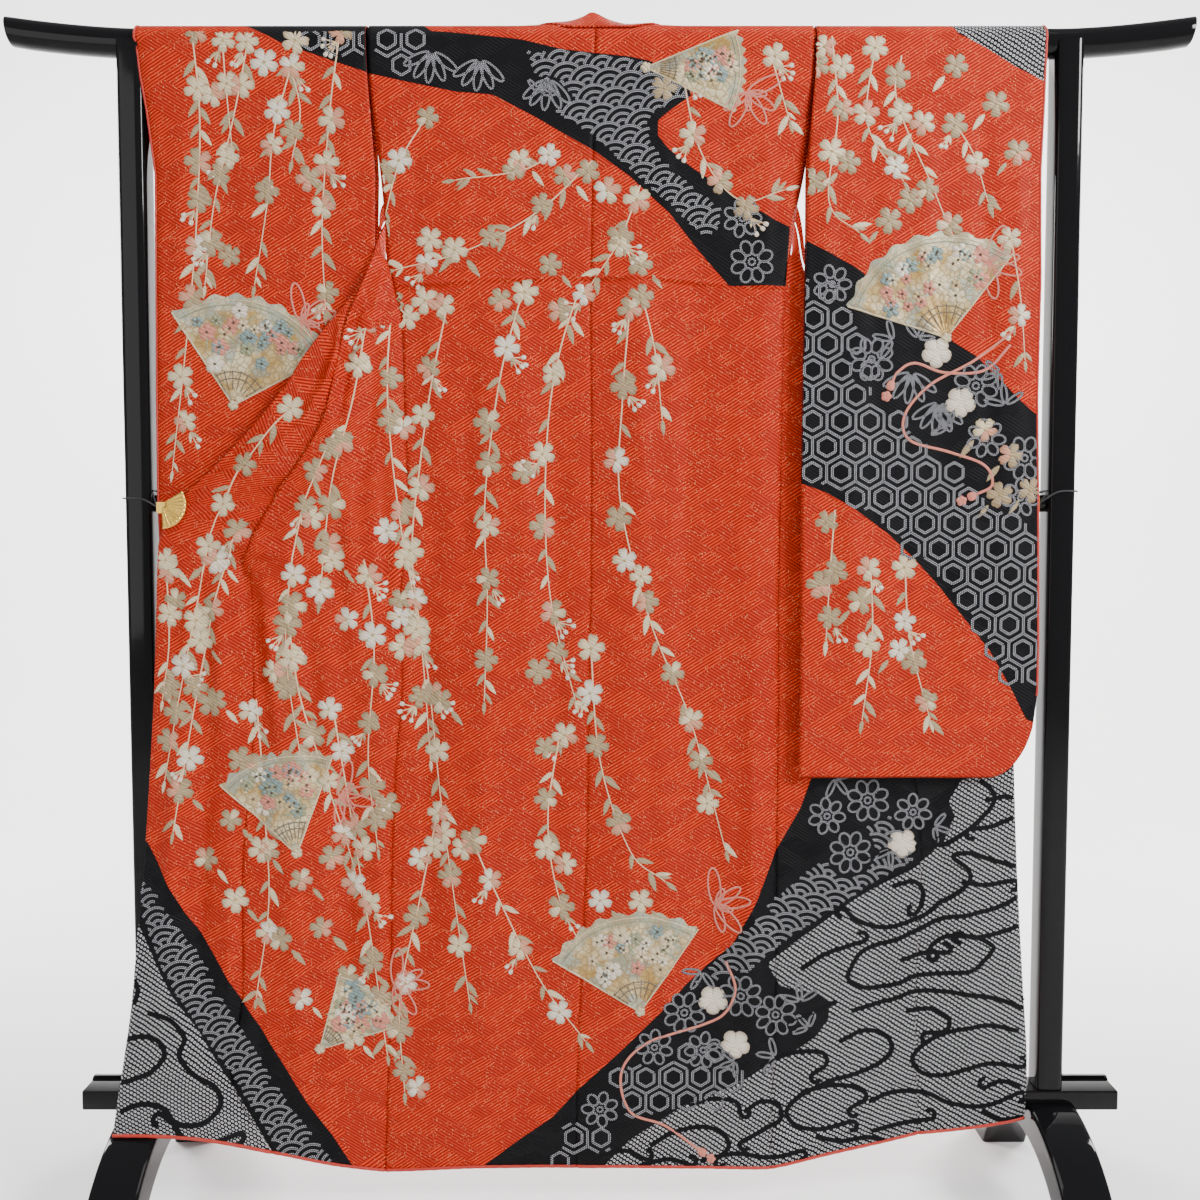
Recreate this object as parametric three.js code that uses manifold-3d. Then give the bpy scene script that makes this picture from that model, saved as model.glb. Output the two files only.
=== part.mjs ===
// A long-sleeved furisode kimono spread back to front on a lacquered kimono stand.
// Millimetres, +Z up, origin on the floor under the middle of the stand. The back of the
// garment faces -Y and +X is on the right of someone who looks at it.
import * as THREE from 'three';
import Module from 'manifold-3d';

const wasm = await Module();
wasm.setup();

// ---------- driving dimensions: the stand ----------
const CLEARANCE = 0.3;
const BEAM = { length: 1695, height: 41, depth: 38, centreZ: 1702, power: 2.2, endRise: 17, endSlant: 7 };
const POST = { centreX: 667, width: 40, depth: 46 };
const RAIL = { diameter: 25, centreZ: 1047 };
const BASE = { length: 1534, depth: 50, height: 28.7, topZ: 179.2 };
const BASE_LIP = { length: 78, depth: 8, height: 5 };
const FOOT = { width: 70, outerRadius: 248, innerRadius: 198, centreZ: -87 };

// ---------- driving dimensions: the garment ----------
const CLOTH = 2;
const COLLAR_CLOTH = 2.6;
const SEAM_GAP = 0.5;
const DRAPE_RADIUS = 24;
const SLEEVE_DRAPE = { depth: 26.6, height: 23.4 };
const NECK = { halfWidth: 97, backAngle: 31, openFrom: 40, ease: 1.6, seamAngle: 5 };
const SLEEVE_BOTTOM = { height: 654, cornerRise: 118, cornerFrom: 0.8 };

// ---------- driving dimensions: the fan clips and their cords ----------
const FAN = { radius: 35, innerRadius: 5, fromAngle: -89, toAngle: 32, pleats: 11, pleatDepth: 1.6, plate: 1.2 };
const CLIP = { reach: 30, height: 16, gap: 11.2, plate: 1.2 };
const CORD_RADIUS = 1.2;

// ---------- finishes ----------
const FINISH = {
  lacquer: { color: 0x0b0b0d, roughness: 0.12, metalness: 0 },
  crepe: { color: 0xc8442e, roughness: 0.62, metalness: 0 },
  gold: { color: 0xc9a03c, roughness: 0.3, metalness: 1 },
  cord: { color: 0x101012, roughness: 0.7, metalness: 0 },
};

const smooth = (from, to, x) => THREE.MathUtils.smoothstep(x, from, to);
const mix = THREE.MathUtils.lerp;
const radians = THREE.MathUtils.degToRad;

/** One row object for each line of a table whose first line names the columns. */
function table(columns, ...lines) {
  return lines.map((line) => Object.fromEntries(columns.map((name, i) => [name, line[i]])));
}

/** The back stops at the neck seam in the middle and reaches the top of the beam elsewhere. */
function neckAngle(x) {
  return mix(NECK.backAngle, 88, smooth(NECK.openFrom, NECK.halfWidth, Math.abs(x)));
}

/** Radius of the cloth round the beam, a little looser at the neck. */
function drapeRadius(x) {
  return DRAPE_RADIUS + NECK.ease * (1 - smooth(NECK.halfWidth - 15, NECK.halfWidth + 25, Math.abs(x)));
}

/** Where the collar's seam stands on the edge of the back's neck. */
function neckPoint(x) {
  const angle = radians(neckAngle(x) + NECK.seamAngle);
  return [x, -drapeRadius(x) * Math.cos(angle), BEAM.centreZ + drapeRadius(x) * Math.sin(angle)];
}

// Each panel is a ladder of sections from the hem up: (ax, ay, az) is the end of the section on
// the first edge and (bx, by, bz) its end on the second; bow lifts its middle towards -Y.
const SECTION = ['ax', 'ay', 'az', 'bx', 'by', 'bz', 'bow', 'rise'];

// Seams that two panels share, from the hem up.
const SEAM = ['x', 'y', 'z'];

const SIDE_LEFT = table(SEAM,
  [-318, -31, 62], [-313, -31, 200], [-308, -30, 330], [-304, -29, 540], [-297, -28, 675], [-288, -28, 780],
  [-289, -27, 915], [-279, -26, 1000], [-277, -26, 1060], [-281, -26, 1195], [-284, -26, 1310], [-301, -26, 1386]);

const SIDE_RIGHT = table(SEAM,
  [252, -31, 66], [254, -31, 200], [257, -30, 330], [257, -29, 540], [258, -28, 770], [257, -27, 907],
  [259, -26, 1050], [260, -26, 1195], [262, -26, 1325], [268, -26, 1388]);

const OVERLAP_SEAM_LEFT = table(SEAM,
  [-480, -50, 99], [-520, -48, 160], [-539, -47, 223], [-522, -45, 322], [-517, -45, 540], [-502, -45, 680],
  [-498, -45, 790], [-500, -45, 925]);

const OVERLAP_SEAM_RIGHT = table(SEAM,
  [470, -31, 119], [466, -31, 220], [464, -30, 340], [468, -29, 540], [443, -28, 765], [425, -27, 907],
  [396, -25, 1046], [350, -24, 1190], [313, -23, 1325]);

/** The point of a seam at a height, straight between its rows. */
function at(seam, z) {
  const row = Math.max(seam.findIndex((point) => point.z >= z), 1);
  const share = (z - seam[row - 1].z) / (seam[row].z - seam[row - 1].z);
  return [...['x', 'y'].map((name) => mix(seam[row - 1][name], seam[row][name], share)), z];
}

const BACK_LEFT = table(SECTION, // a: side seam and armhole, b: centre back seam
  [...at(SIDE_LEFT, 62), -36, -31, 68, 0, 2],
  [...at(SIDE_LEFT, 200), -34, -31, 200, 2, 0],
  [...at(SIDE_LEFT, 330), -29, -30, 330, 4, 0],
  [...at(SIDE_LEFT, 540), -20, -29, 540, 6, 0],
  [...at(SIDE_LEFT, 675), -18, -28, 675, 6, 0],
  [...at(SIDE_LEFT, 780), -17, -28, 780, 6, 0],
  [...at(SIDE_LEFT, 915), -14, -27, 915, 5, 0],
  [...at(SIDE_LEFT, 960), -13, -26, 960, 4, 0],
  [...at(SIDE_LEFT, 1000), -13, -26, 1000, 4, 0],
  [...at(SIDE_LEFT, 1060), -13, -26, 1060, 4, 0],
  [...at(SIDE_LEFT, 1195), -13, -26, 1195, 3, 0],
  [...at(SIDE_LEFT, 1310), -14, -26, 1310, 3, 0],
  [...at(SIDE_LEFT, 1386), -13, -26, 1386, 3, 0],
  [-304, -26, 1450, -12, -26, 1450, 3, 0],
  [-312, -25, 1535, -10, -25, 1540, 2, 0],
  [-326, -24, 1640, -8, -24, 1640, 0, 0],
  [-328, -24, 1702, -7, -24, 1702, 0, 0]);

const BACK_RIGHT = table(SECTION, // a: side seam and armhole, b: centre back seam
  [...at(SIDE_RIGHT, 66), -36, -31, 68, 0, 0],
  [...at(SIDE_RIGHT, 200), -34, -31, 200, 2, 0],
  [...at(SIDE_RIGHT, 330), -29, -30, 330, 4, 0],
  [...at(SIDE_RIGHT, 540), -20, -29, 540, 5, 0],
  [...at(SIDE_RIGHT, 770), -17, -28, 770, 5, 0],
  [...at(SIDE_RIGHT, 907), -14, -27, 907, 4, 0],
  [...at(SIDE_RIGHT, 1050), -13, -26, 1050, 4, 0],
  [...at(SIDE_RIGHT, 1195), -13, -26, 1195, 3, 0],
  [...at(SIDE_RIGHT, 1325), -14, -26, 1325, 3, 0],
  [...at(SIDE_RIGHT, 1388), -13, -26, 1388, 3, 0],
  [277, -26, 1460, -12, -26, 1460, 3, 0],
  [290, -25, 1530, -10, -25, 1540, 2, 0],
  [301, -24, 1645, -8, -24, 1640, 0, 0],
  [303, -24, 1702, -7, -24, 1702, 0, 0]);

// The front panels swing out from the side seam; near the slit they gather, turn over and pass
// up behind the beam to the shoulder.
const FRONT_LEFT = table(SECTION, // a: side seam, b: seam to the overlap panel, then the neck edge
  [...at(SIDE_LEFT, 62), ...at(OVERLAP_SEAM_LEFT, 99), 4, 0],
  [...at(SIDE_LEFT, 150), ...at(OVERLAP_SEAM_LEFT, 160), 4, 0],
  [...at(SIDE_LEFT, 200), ...at(OVERLAP_SEAM_LEFT, 223), 4, 0],
  [...at(SIDE_LEFT, 330), ...at(OVERLAP_SEAM_LEFT, 322), 4, 0],
  [...at(SIDE_LEFT, 430), ...at(OVERLAP_SEAM_LEFT, 430), 4, 0],
  [...at(SIDE_LEFT, 540), ...at(OVERLAP_SEAM_LEFT, 540), 5, 0],
  [...at(SIDE_LEFT, 675), ...at(OVERLAP_SEAM_LEFT, 680), 5, 0],
  [...at(SIDE_LEFT, 780), ...at(OVERLAP_SEAM_LEFT, 790), 5, 0],
  [...at(SIDE_LEFT, 915), ...at(OVERLAP_SEAM_LEFT, 925), 5, 0],
  [...at(SIDE_LEFT, 960), -500, -48.5, 950, 5, 0],
  [...at(SIDE_LEFT, 1000), -506, -49.5, 974, 6, 0],
  [...at(SIDE_LEFT, 1060), -474, -52, 1035, 6, 0],
  [...at(SIDE_LEFT, 1120), -428, -55, 1102, 5, 0],
  [...at(SIDE_LEFT, 1195), -392, -55, 1165, 4, 0],
  [...at(SIDE_LEFT, 1250), -374, -53, 1237, 3, 0],
  [...at(SIDE_LEFT, 1310), -357, -51, 1302, 2, 0],
  [...at(SIDE_LEFT, 1348), -339, -48, 1347, 1, 0],
  [...at(SIDE_LEFT, 1386), -323, -43, 1386, 0, 0],
  [-307, -13, 1402, -311, -16, 1438, 0, 0],
  [-304, 5, 1446, -291, 8, 1484, 0, 0],
  [-309, 15, 1535, -235, 18, 1565, -5, 0],
  [-322, 22, 1632, -152, 23, 1640, -3, 0],
  [-328, 24, 1702, -97, 24, 1702, 0, 0]);

const FRONT_RIGHT = table(SECTION, // a: side seam, b: seam to the overlap panel, then the neck edge
  [...at(SIDE_RIGHT, 66), ...at(OVERLAP_SEAM_RIGHT, 119), 1, 0],
  [...at(SIDE_RIGHT, 200), ...at(OVERLAP_SEAM_RIGHT, 220), 2, 0],
  [...at(SIDE_RIGHT, 330), ...at(OVERLAP_SEAM_RIGHT, 340), 2, 0],
  [...at(SIDE_RIGHT, 540), ...at(OVERLAP_SEAM_RIGHT, 540), 2, 0],
  [...at(SIDE_RIGHT, 770), ...at(OVERLAP_SEAM_RIGHT, 765), 1, 0],
  [...at(SIDE_RIGHT, 907), ...at(OVERLAP_SEAM_RIGHT, 907), 1, 0],
  [...at(SIDE_RIGHT, 988), ...at(OVERLAP_SEAM_RIGHT, 985), 1, 0],
  [...at(SIDE_RIGHT, 1050), ...at(OVERLAP_SEAM_RIGHT, 1046), 1, 0],
  [...at(SIDE_RIGHT, 1122), ...at(OVERLAP_SEAM_RIGHT, 1120), 0, 0],
  [...at(SIDE_RIGHT, 1195), ...at(OVERLAP_SEAM_RIGHT, 1190), 0, 0],
  [...at(SIDE_RIGHT, 1262), ...at(OVERLAP_SEAM_RIGHT, 1262), 0, 0],
  [...at(SIDE_RIGHT, 1325), ...at(OVERLAP_SEAM_RIGHT, 1325), 0, 0],
  [...at(SIDE_RIGHT, 1388), 290, -22, 1384, 0, 0],
  [275, -13, 1408, 281, -10, 1442, 0, 0],
  [277, 4, 1452, 264, 8, 1486, 0, 0],
  [286, 15, 1535, 215, 18, 1565, -5, 0],
  [299, 22, 1632, 145, 23, 1640, -3, 0],
  [303, 24, 1702, 97, 24, 1702, 0, 0]);

// The left overlap panel is pulled out to the clip, so above its seam it tucks under the fold of
// the front panel and its collar seam runs down the slope to the clip.
const OVERLAP_LEFT = table(SECTION, // a: seam to the front panel, b: free edge, then the collar seam
  [...at(OVERLAP_SEAM_LEFT, 99), -695, -95, 146, 14, 15],
  [...at(OVERLAP_SEAM_LEFT, 160), -691, -83, 195, 9, 6],
  [...at(OVERLAP_SEAM_LEFT, 223), -685, -73, 248, 5, 0],
  [...at(OVERLAP_SEAM_LEFT, 322), -677, -60, 326, 3, 0],
  [...at(OVERLAP_SEAM_LEFT, 430), -669, -52, 434, 3, 0],
  [...at(OVERLAP_SEAM_LEFT, 540), -658, -48, 545, 3, 0],
  [...at(OVERLAP_SEAM_LEFT, 680), -648, -46, 675, 3, 0],
  [...at(OVERLAP_SEAM_LEFT, 790), -640, -46, 790, 3, 0],
  [...at(OVERLAP_SEAM_LEFT, 925), -634, -46, 925, 3, 0],
  [-500.5, -44, 950, -632, -46, 960, 3, 0],
  [-497, -43, 975, -629, -46, 993, 3, 0],
  [-484, -43, 1005, -613, -46, 1032, 3, 0],
  [-464, -45, 1035, -598, -47, 1052, 3, 0],
  [-442, -46, 1068, -548, -48, 1098, 3, 0],
  [-414, -46, 1106, -496, -48, 1152, 3, 0],
  [-386, -45, 1152, -447, -48, 1211, 3, 0],
  [-368, -43, 1202, -423, -47, 1249, 2, 0],
  [-356, -41, 1252, -394, -45, 1288, 1, 0],
  [-348, -39, 1300, -368, -42, 1319, 0, 0],
  [-337, -36, 1345, -343, -38, 1351, 0, 0],
  [-326, -34, 1366, -331, -35, 1371, 0, 0]);

const OVERLAP_RIGHT = table(SECTION, // a: seam to the front panel, b: free edge, then the collar seam
  [...at(OVERLAP_SEAM_RIGHT, 119), 627, -31, 142, 0, -4],
  [...at(OVERLAP_SEAM_RIGHT, 220), 629, -31, 230, 2, 0],
  [...at(OVERLAP_SEAM_RIGHT, 340), 621, -30, 345, 2, 0],
  [...at(OVERLAP_SEAM_RIGHT, 540), 608, -29, 545, 2, 0],
  [...at(OVERLAP_SEAM_RIGHT, 765), 600, -28, 765, 1, 0],
  [...at(OVERLAP_SEAM_RIGHT, 907), 604, -27, 915, 1, 0],
  [...at(OVERLAP_SEAM_RIGHT, 985), 612, -26, 1010, 1, 0],
  [...at(OVERLAP_SEAM_RIGHT, 1046), 600, -25, 1056, 1, 0],
  [...at(OVERLAP_SEAM_RIGHT, 1120), 510, -25, 1140, 0, 0],
  [...at(OVERLAP_SEAM_RIGHT, 1190), 425, -25, 1225, 0, 0],
  [...at(OVERLAP_SEAM_RIGHT, 1262), 362, -24, 1290, 0, 0],
  [...at(OVERLAP_SEAM_RIGHT, 1325), 324, -24, 1334, 0, 0]);

// The collar band: a is its seam, b its free edge, from the left clip round the neck to the right.
const COLLAR = table(SECTION,
  [-598, -41, 1047, -566, -41, 1013, 0, 0],
  [-545, -42, 1092, -512, -41, 1058, 0, 0],
  [-493, -42, 1147, -460, -41, 1114, 0, 0],
  [-444, -42, 1206, -410, -40, 1174, 0, 0],
  [-392, -39, 1283, -362, -37, 1252, 0, 0],
  [-366, -36, 1315, -340, -34, 1288, 0, 0],
  [-341, -33, 1349, -326, -32, 1330, 0, 0],
  [-325, -32, 1376, -317.5, -31, 1362, 0, 0],
  [-317.5, -28, 1394, -315, -27, 1382, 0, 0],
  [-315.5, -19, 1424, -313.5, -18, 1413, 0, 0],
  [-312, -9, 1447, -313, -8, 1472, 0, 0],
  [-290, 8.2, 1487, -272, 11, 1521, 0, 0],
  [-232, 18.5, 1566, -188, 20, 1560, 0, 0],
  [-150, 23.6, 1641, -107, 26, 1618, 0, 0],
  [-96, 26.4, 1701, -60, 29, 1688, 0, 0],
  [-94, 12, 1726, -60, 16, 1724, 0, 0],
  [...neckPoint(-80), -58, 6, 1732, 0, 0],
  [...neckPoint(-66), -46, 8, 1735, 0, 0],
  [...neckPoint(-50), -35, 9, 1738, 0, 0],
  [...neckPoint(-28), -22, 9, 1743, 0, 0],
  [...neckPoint(-6), -10, 9, 1748, 0, 0],
  [...neckPoint(24), 12, 9, 1738, 0, 0],
  [...neckPoint(48), 32, 8, 1732, 0, 0],
  [...neckPoint(66), 46, 8, 1731, 0, 0],
  [...neckPoint(80), 58, 8, 1730, 0, 0],
  [94, 12, 1726, 60, 16, 1724, 0, 0],
  [96, 26.4, 1701, 60, 29, 1688, 0, 0],
  [143, 23.6, 1641, 101, 26, 1618, 0, 0],
  [212, 18.5, 1566, 170, 20, 1560, 0, 0],
  [262, 8.4, 1488, 244, 12, 1522, 0, 0],
  [282, -7, 1447, 282, -4, 1476, 0, 0],
  [292, -17, 1388, 296, -15, 1374, 0, 0],
  [322, -20, 1331, 305, -19, 1308, 0, 0],
  [361, -20, 1287, 330, -19, 1256, 0, 0],
  [424, -21, 1221, 391, -20, 1188, 0, 0],
  [508, -21, 1136, 475, -20, 1102, 0, 0],
  [597, -21, 1053, 565, -20, 1018, 0, 0]);

// Each sleeve is a flat bag round the beam: its edges and the depth of its two layers by height.
const SLEEVE_LEVEL = ['z', 'inner', 'outer', 'nearY', 'farY'];

const SLEEVE_LEFT = table(SLEEVE_LEVEL,
  [654, -322, -626, -24, -18],
  [850, -321, -632, -25, -18],
  [1047, -320, -638, -25, -17.5],
  [1195, -320, -637, -25, -14],
  [1363, -321, -634, -26, -4],
  [1513, -319, -632, -26.5, 9],
  [1604, -325.5, -643, -26.6, 25],
  [1651, -329, -651, -26.6, 26.3],
  [1702, -331, -657, -26.6, 26.6]);

const SLEEVE_RIGHT = table(SLEEVE_LEVEL,
  [654, 287, 627, -48, -39],
  [850, 288, 627, -48, -38],
  [1047, 287, 623, -48, -37],
  [1195, 288, 619, -47, -36],
  [1363, 290, 621, -45, -33],
  [1430, 291, 620, -43, -27],
  [1513, 293, 620, -39, -12],
  [1600, 299, 625, -33, 8],
  [1651, 304, 628, -28, 22],
  [1702, 306, 630, -26.6, 26.6]);

// Soft folds: they stand towards -Y by depth, run from level v0 to v1 of a panel's sections
// (0 at the hem, 1 at the shoulder) and drift across it from u0 to u1.
const FOLD = ['u0', 'u1', 'width', 'v0', 'v1', 'depth'];

const BACK_LEFT_FOLDS = table(FOLD,
  [0.16, 0.12, 0.09, 0.0, 0.7, -5],
  [0.46, 0.5, 0.12, 0.05, 0.85, 4],
  [0.8, 0.78, 0.1, 0.0, 0.75, -4]);

const BACK_RIGHT_FOLDS = table(FOLD,
  [0.12, 0.1, 0.08, 0.05, 0.75, 6],
  [0.4, 0.44, 0.12, 0.0, 0.8, -4],
  [0.78, 0.76, 0.1, 0.05, 0.8, 4]);

const FRONT_LEFT_FOLDS = table(FOLD,
  [0.3, 0.42, 0.11, 0.1, 0.72, -8],
  [0.7, 0.72, 0.1, 0.1, 0.62, 5]);

const FRONT_RIGHT_FOLDS = table(FOLD,
  [0.3, 0.34, 0.1, 0.02, 0.36, 4],
  [0.72, 0.7, 0.12, 0.02, 0.34, -3]);

const OVERLAP_LEFT_FOLDS = table(FOLD,
  [0.35, 0.5, 0.12, 0.1, 0.5, -5],
  [0.75, 0.7, 0.1, 0.12, 0.55, 4],
  [0.45, 0.3, 0.12, 0.55, 0.95, 3]);

const OVERLAP_RIGHT_FOLDS = table(FOLD,
  [0.5, 0.45, 0.14, 0.0, 0.4, 3]);

const SLEEVE_LEFT_FOLDS = table(FOLD,
  [0.3, 0.34, 0.12, 0.4, 0.95, 1.6],
  [0.86, 0.9, 0.07, 0.3, 0.95, 2]);

const SLEEVE_RIGHT_FOLDS = table(FOLD,
  [0.2, 0.3, 0.12, 0.1, 0.9, 3],
  [0.62, 0.55, 0.14, 0.1, 0.9, -3],
  [0.86, 0.9, 0.07, 0.15, 0.9, 3]);

/** The height of all folds at (u, v): bell-shaped across, faded at both ends along. */
function foldDepth(folds, u, v) {
  return folds.reduce((sum, fold) => {
    const along = THREE.MathUtils.clamp((v - fold.v0) / (fold.v1 - fold.v0), 0, 1);
    const across = (u - mix(fold.u0, fold.u1, along)) / fold.width;
    const fade = smooth(0, 0.18, along) * (1 - smooth(0.75, 1, along));
    return sum + fold.depth * fade * Math.exp(-across * across);
  }, 0);
}

/** A smooth curve through one edge of a table of sections. */
function edgeCurve(sections, edge) {
  const points = sections.map((row) => new THREE.Vector3(row[`${edge}x`], row[`${edge}y`], row[`${edge}z`]));
  return new THREE.CatmullRomCurve3(points, false, 'catmullrom', 0.5);
}

/** A column of a table read smoothly at a place t from 0, the first row, to 1, the last. */
function columnAt(rows, name, t) {
  const place = t * (rows.length - 1);
  const row = Math.min(Math.floor(place), rows.length - 2);
  return mix(rows[row][name], rows[row + 1][name], place - row);
}

/** Grid of points of a panel between its two edges, trimmed by half a seam gap at each. */
function panelGrid(sections, folds, steps, columns) {
  const first = edgeCurve(sections, 'a');
  const second = edgeCurve(sections, 'b');
  const rowCount = (sections.length - 1) * steps;
  return Array.from({ length: rowCount + 1 }, (_, r) => {
    const v = r / rowCount;
    const a = first.getPoint(v);
    const b = second.getPoint(v);
    const trim = SEAM_GAP / 2 / a.distanceTo(b);
    return Array.from({ length: columns + 1 }, (__, c) => {
      const u = mix(trim, 1 - trim, c / columns);
      const arch = 4 * u * (1 - u);
      const point = a.clone().lerp(b, u);
      point.y -= columnAt(sections, 'bow', v) * arch + foldDepth(folds, u, v);
      point.z += columnAt(sections, 'rise', v) * arch;
      return point;
    });
  });
}

/** Rows that carry a panel from the beam's side (angle 0) over its top to its end angle. */
function overBeamRows(lastRow, turn, steps, endAngle) {
  return Array.from({ length: steps }, (_, i) => lastRow.map((point) => {
    const angle = radians(endAngle(point.x)) * (i + 1) / steps;
    const radius = mix(DRAPE_RADIUS, drapeRadius(point.x), (i + 1) / steps);
    const y = turn * radius * Math.cos(angle);
    return new THREE.Vector3(point.x, y, BEAM.centreZ + radius * Math.sin(angle));
  }));
}

/** Index triples for the quads of a grid of numbered points. */
function quadIndex(rows, columns, number, closed, flip) {
  const index = [];
  for (let r = 0; r < (closed ? rows : rows - 1); r += 1) {
    for (let c = 0; c < columns - 1; c += 1) {
      const corners = [number(r, c), number(r, c + 1), number((r + 1) % rows, c + 1), number((r + 1) % rows, c)];
      const [p, q, s, t] = flip ? corners.reverse() : corners;
      index.push(p, q, s, p, s, t);
    }
  }
  return index;
}

/** Signed volume of an indexed triangle list, positive when its faces point out. */
function signedVolume(points, index) {
  let volume = 0;
  for (let i = 0; i < index.length; i += 3) {
    const [a, b, c] = [points[index[i]], points[index[i + 1]], points[index[i + 2]]];
    volume += a.dot(b.clone().cross(c)) / 6;
  }
  return volume;
}

/** A closed geometry from points and triangles, turned so that its faces point out. */
function solid(points, index) {
  if (signedVolume(points, index) < 0) index.reverse();
  const geometry = new THREE.BufferGeometry();
  geometry.setAttribute('position', new THREE.Float32BufferAttribute(points.flatMap((p) => p.toArray()), 3));
  geometry.setIndex(index);
  geometry.computeVertexNormals();
  return geometry;
}

/** Unit normal of a grid at one point, from its neighbours. */
function gridNormal(grid, r, c, closed) {
  const rows = grid.length;
  const wrap = (i) => (closed ? (i + rows) % rows : THREE.MathUtils.clamp(i, 0, rows - 1));
  const along = grid[wrap(r + 1)][c].clone().sub(grid[wrap(r - 1)][c]);
  const across = grid[r][Math.min(c + 1, grid[r].length - 1)].clone().sub(grid[r][Math.max(c - 1, 0)]);
  return along.cross(across).normalize();
}

/** A wall of cloth: the grid is its outer face and the inner face lies a thickness behind it. */
function wall(grid, thickness, side, closed = false) {
  const rows = grid.length;
  const columns = grid[0].length;
  const inner = grid.map((row, r) => row.map((point, c) => (
    point.clone().addScaledVector(gridNormal(grid, r, c, closed), -side * thickness))));
  const points = [...grid.flat(), ...inner.flat()];
  const outerNumber = (r, c) => r * columns + c;
  const innerNumber = (r, c) => rows * columns + r * columns + c;
  const index = [
    ...quadIndex(rows, columns, outerNumber, closed, false),
    ...quadIndex(rows, columns, innerNumber, closed, true)];
  const edge = (c) => (r, k) => (k === 0 ? outerNumber(r, c) : innerNumber(r, c));
  index.push(...quadIndex(rows, 2, edge(0), closed, true), ...quadIndex(rows, 2, edge(columns - 1), closed, false));
  if (!closed) {
    const end = (row) => (c, k) => (k === 0 ? outerNumber(row, c) : innerNumber(row, c));
    index.push(...quadIndex(columns, 2, end(0), false, false), ...quadIndex(columns, 2, end(rows - 1), false, true));
  }
  return solid(points, index);
}

/** A solid lofted through rings that have the same number of points, with flat caps. */
function loft(rings) {
  const count = rings[0].length;
  const centre = (ring) => ring.reduce((sum, p) => sum.add(p), new THREE.Vector3()).divideScalar(count);
  const points = [...rings.flat(), centre(rings[0]), centre(rings[rings.length - 1])];
  const index = [];
  for (let r = 0; r < rings.length - 1; r += 1) {
    for (let i = 0; i < count; i += 1) {
      const j = (i + 1) % count;
      const [p, q, s, t] = [r * count + i, r * count + j, (r + 1) * count + j, (r + 1) * count + i];
      index.push(p, q, s, p, s, t);
    }
  }
  const last = (rings.length - 1) * count;
  for (let i = 0; i < count; i += 1) {
    const j = (i + 1) % count;
    index.push(j, i, points.length - 2, last + i, last + j, points.length - 1);
  }
  return solid(points, index);
}

function toManifold(geometry) {
  return new wasm.Manifold(new wasm.Mesh({
    numProp: 3,
    vertProperties: new Float32Array(geometry.attributes.position.array),
    triVerts: new Uint32Array(geometry.index.array),
  }));
}

function fromManifold(manifold) {
  const { vertProperties, triVerts } = manifold.getMesh();
  const geometry = new THREE.BufferGeometry();
  geometry.setAttribute('position', new THREE.BufferAttribute(new Float32Array(vertProperties), 3));
  geometry.setIndex(new THREE.BufferAttribute(new Uint32Array(triVerts), 1));
  geometry.computeVertexNormals();
  return geometry;
}

/** A box between two corners as a closed indexed solid. */
function block([x0, y0, z0], [x1, y1, z1]) {
  const ring = (x) => [
    new THREE.Vector3(x, y0, z0), new THREE.Vector3(x, y1, z0),
    new THREE.Vector3(x, y1, z1), new THREE.Vector3(x, y0, z1)];
  return loft([ring(x0), ring(x1)]);
}

/** Points round a section with rounded corners: a superellipse of the given power. */
function roundSection(width, height, power, count) {
  return Array.from({ length: count }, (_, i) => {
    const angle = (i + 0.5) / count * 2 * Math.PI;
    const bend = (value) => Math.sign(value) * Math.abs(value) ** (2 / power);
    return new THREE.Vector2(width / 2 * bend(Math.cos(angle)), height / 2 * bend(Math.sin(angle)));
  });
}

// ---------- the stand ----------

/** The top beam, or the room it needs when grow is a clearance all round. */
function beamSolid(grow) {
  const section = roundSection(BEAM.depth + 2 * grow, BEAM.height + 2 * grow, BEAM.power, 20);
  const half = BEAM.length / 2;
  const stations = [1, 0.97, 0.93, 0.89, 0.85, 0.81, 0.77].map((share) => share * half);
  const middle = [0];
  const xs = [...stations.map((x) => -x), ...middle, ...stations.slice().reverse()];
  const curveFrom = 0.77 * half;
  return loft(xs.map((x) => section.map((point) => {
    const bend = Math.max(Math.abs(x) - curveFrom, 0) / (half - curveFrom);
    const slant = Math.abs(x) === half ? Math.sign(x) * BEAM.endSlant * (point.y / BEAM.height - 0.5) : 0;
    return new THREE.Vector3(x + slant, point.x, BEAM.centreZ + BEAM.endRise * bend ** 1.6 + point.y);
  })));
}

/** A post from the base rail to the middle of the beam, which lies in a saddle in its top. */
function postSolid(side) {
  const section = roundSection(POST.width, POST.depth, 5, 20);
  const ring = (z) => section.map((p) => new THREE.Vector3(side * POST.centreX + p.x, p.y, z));
  const blank = loft([ring(BASE.topZ + CLEARANCE), ring(BEAM.centreZ)]);
  return fromManifold(toManifold(blank).subtract(toManifold(beamSolid(CLEARANCE))));
}

/** The round rail between the posts. */
function middleRail() {
  const section = roundSection(RAIL.diameter, RAIL.diameter, 2, 16);
  const half = POST.centreX - POST.width / 2 - CLEARANCE;
  const ring = (x) => section.map((p) => new THREE.Vector3(x, p.x, RAIL.centreZ + p.y));
  return loft([ring(-half), ring(half)]);
}

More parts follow.
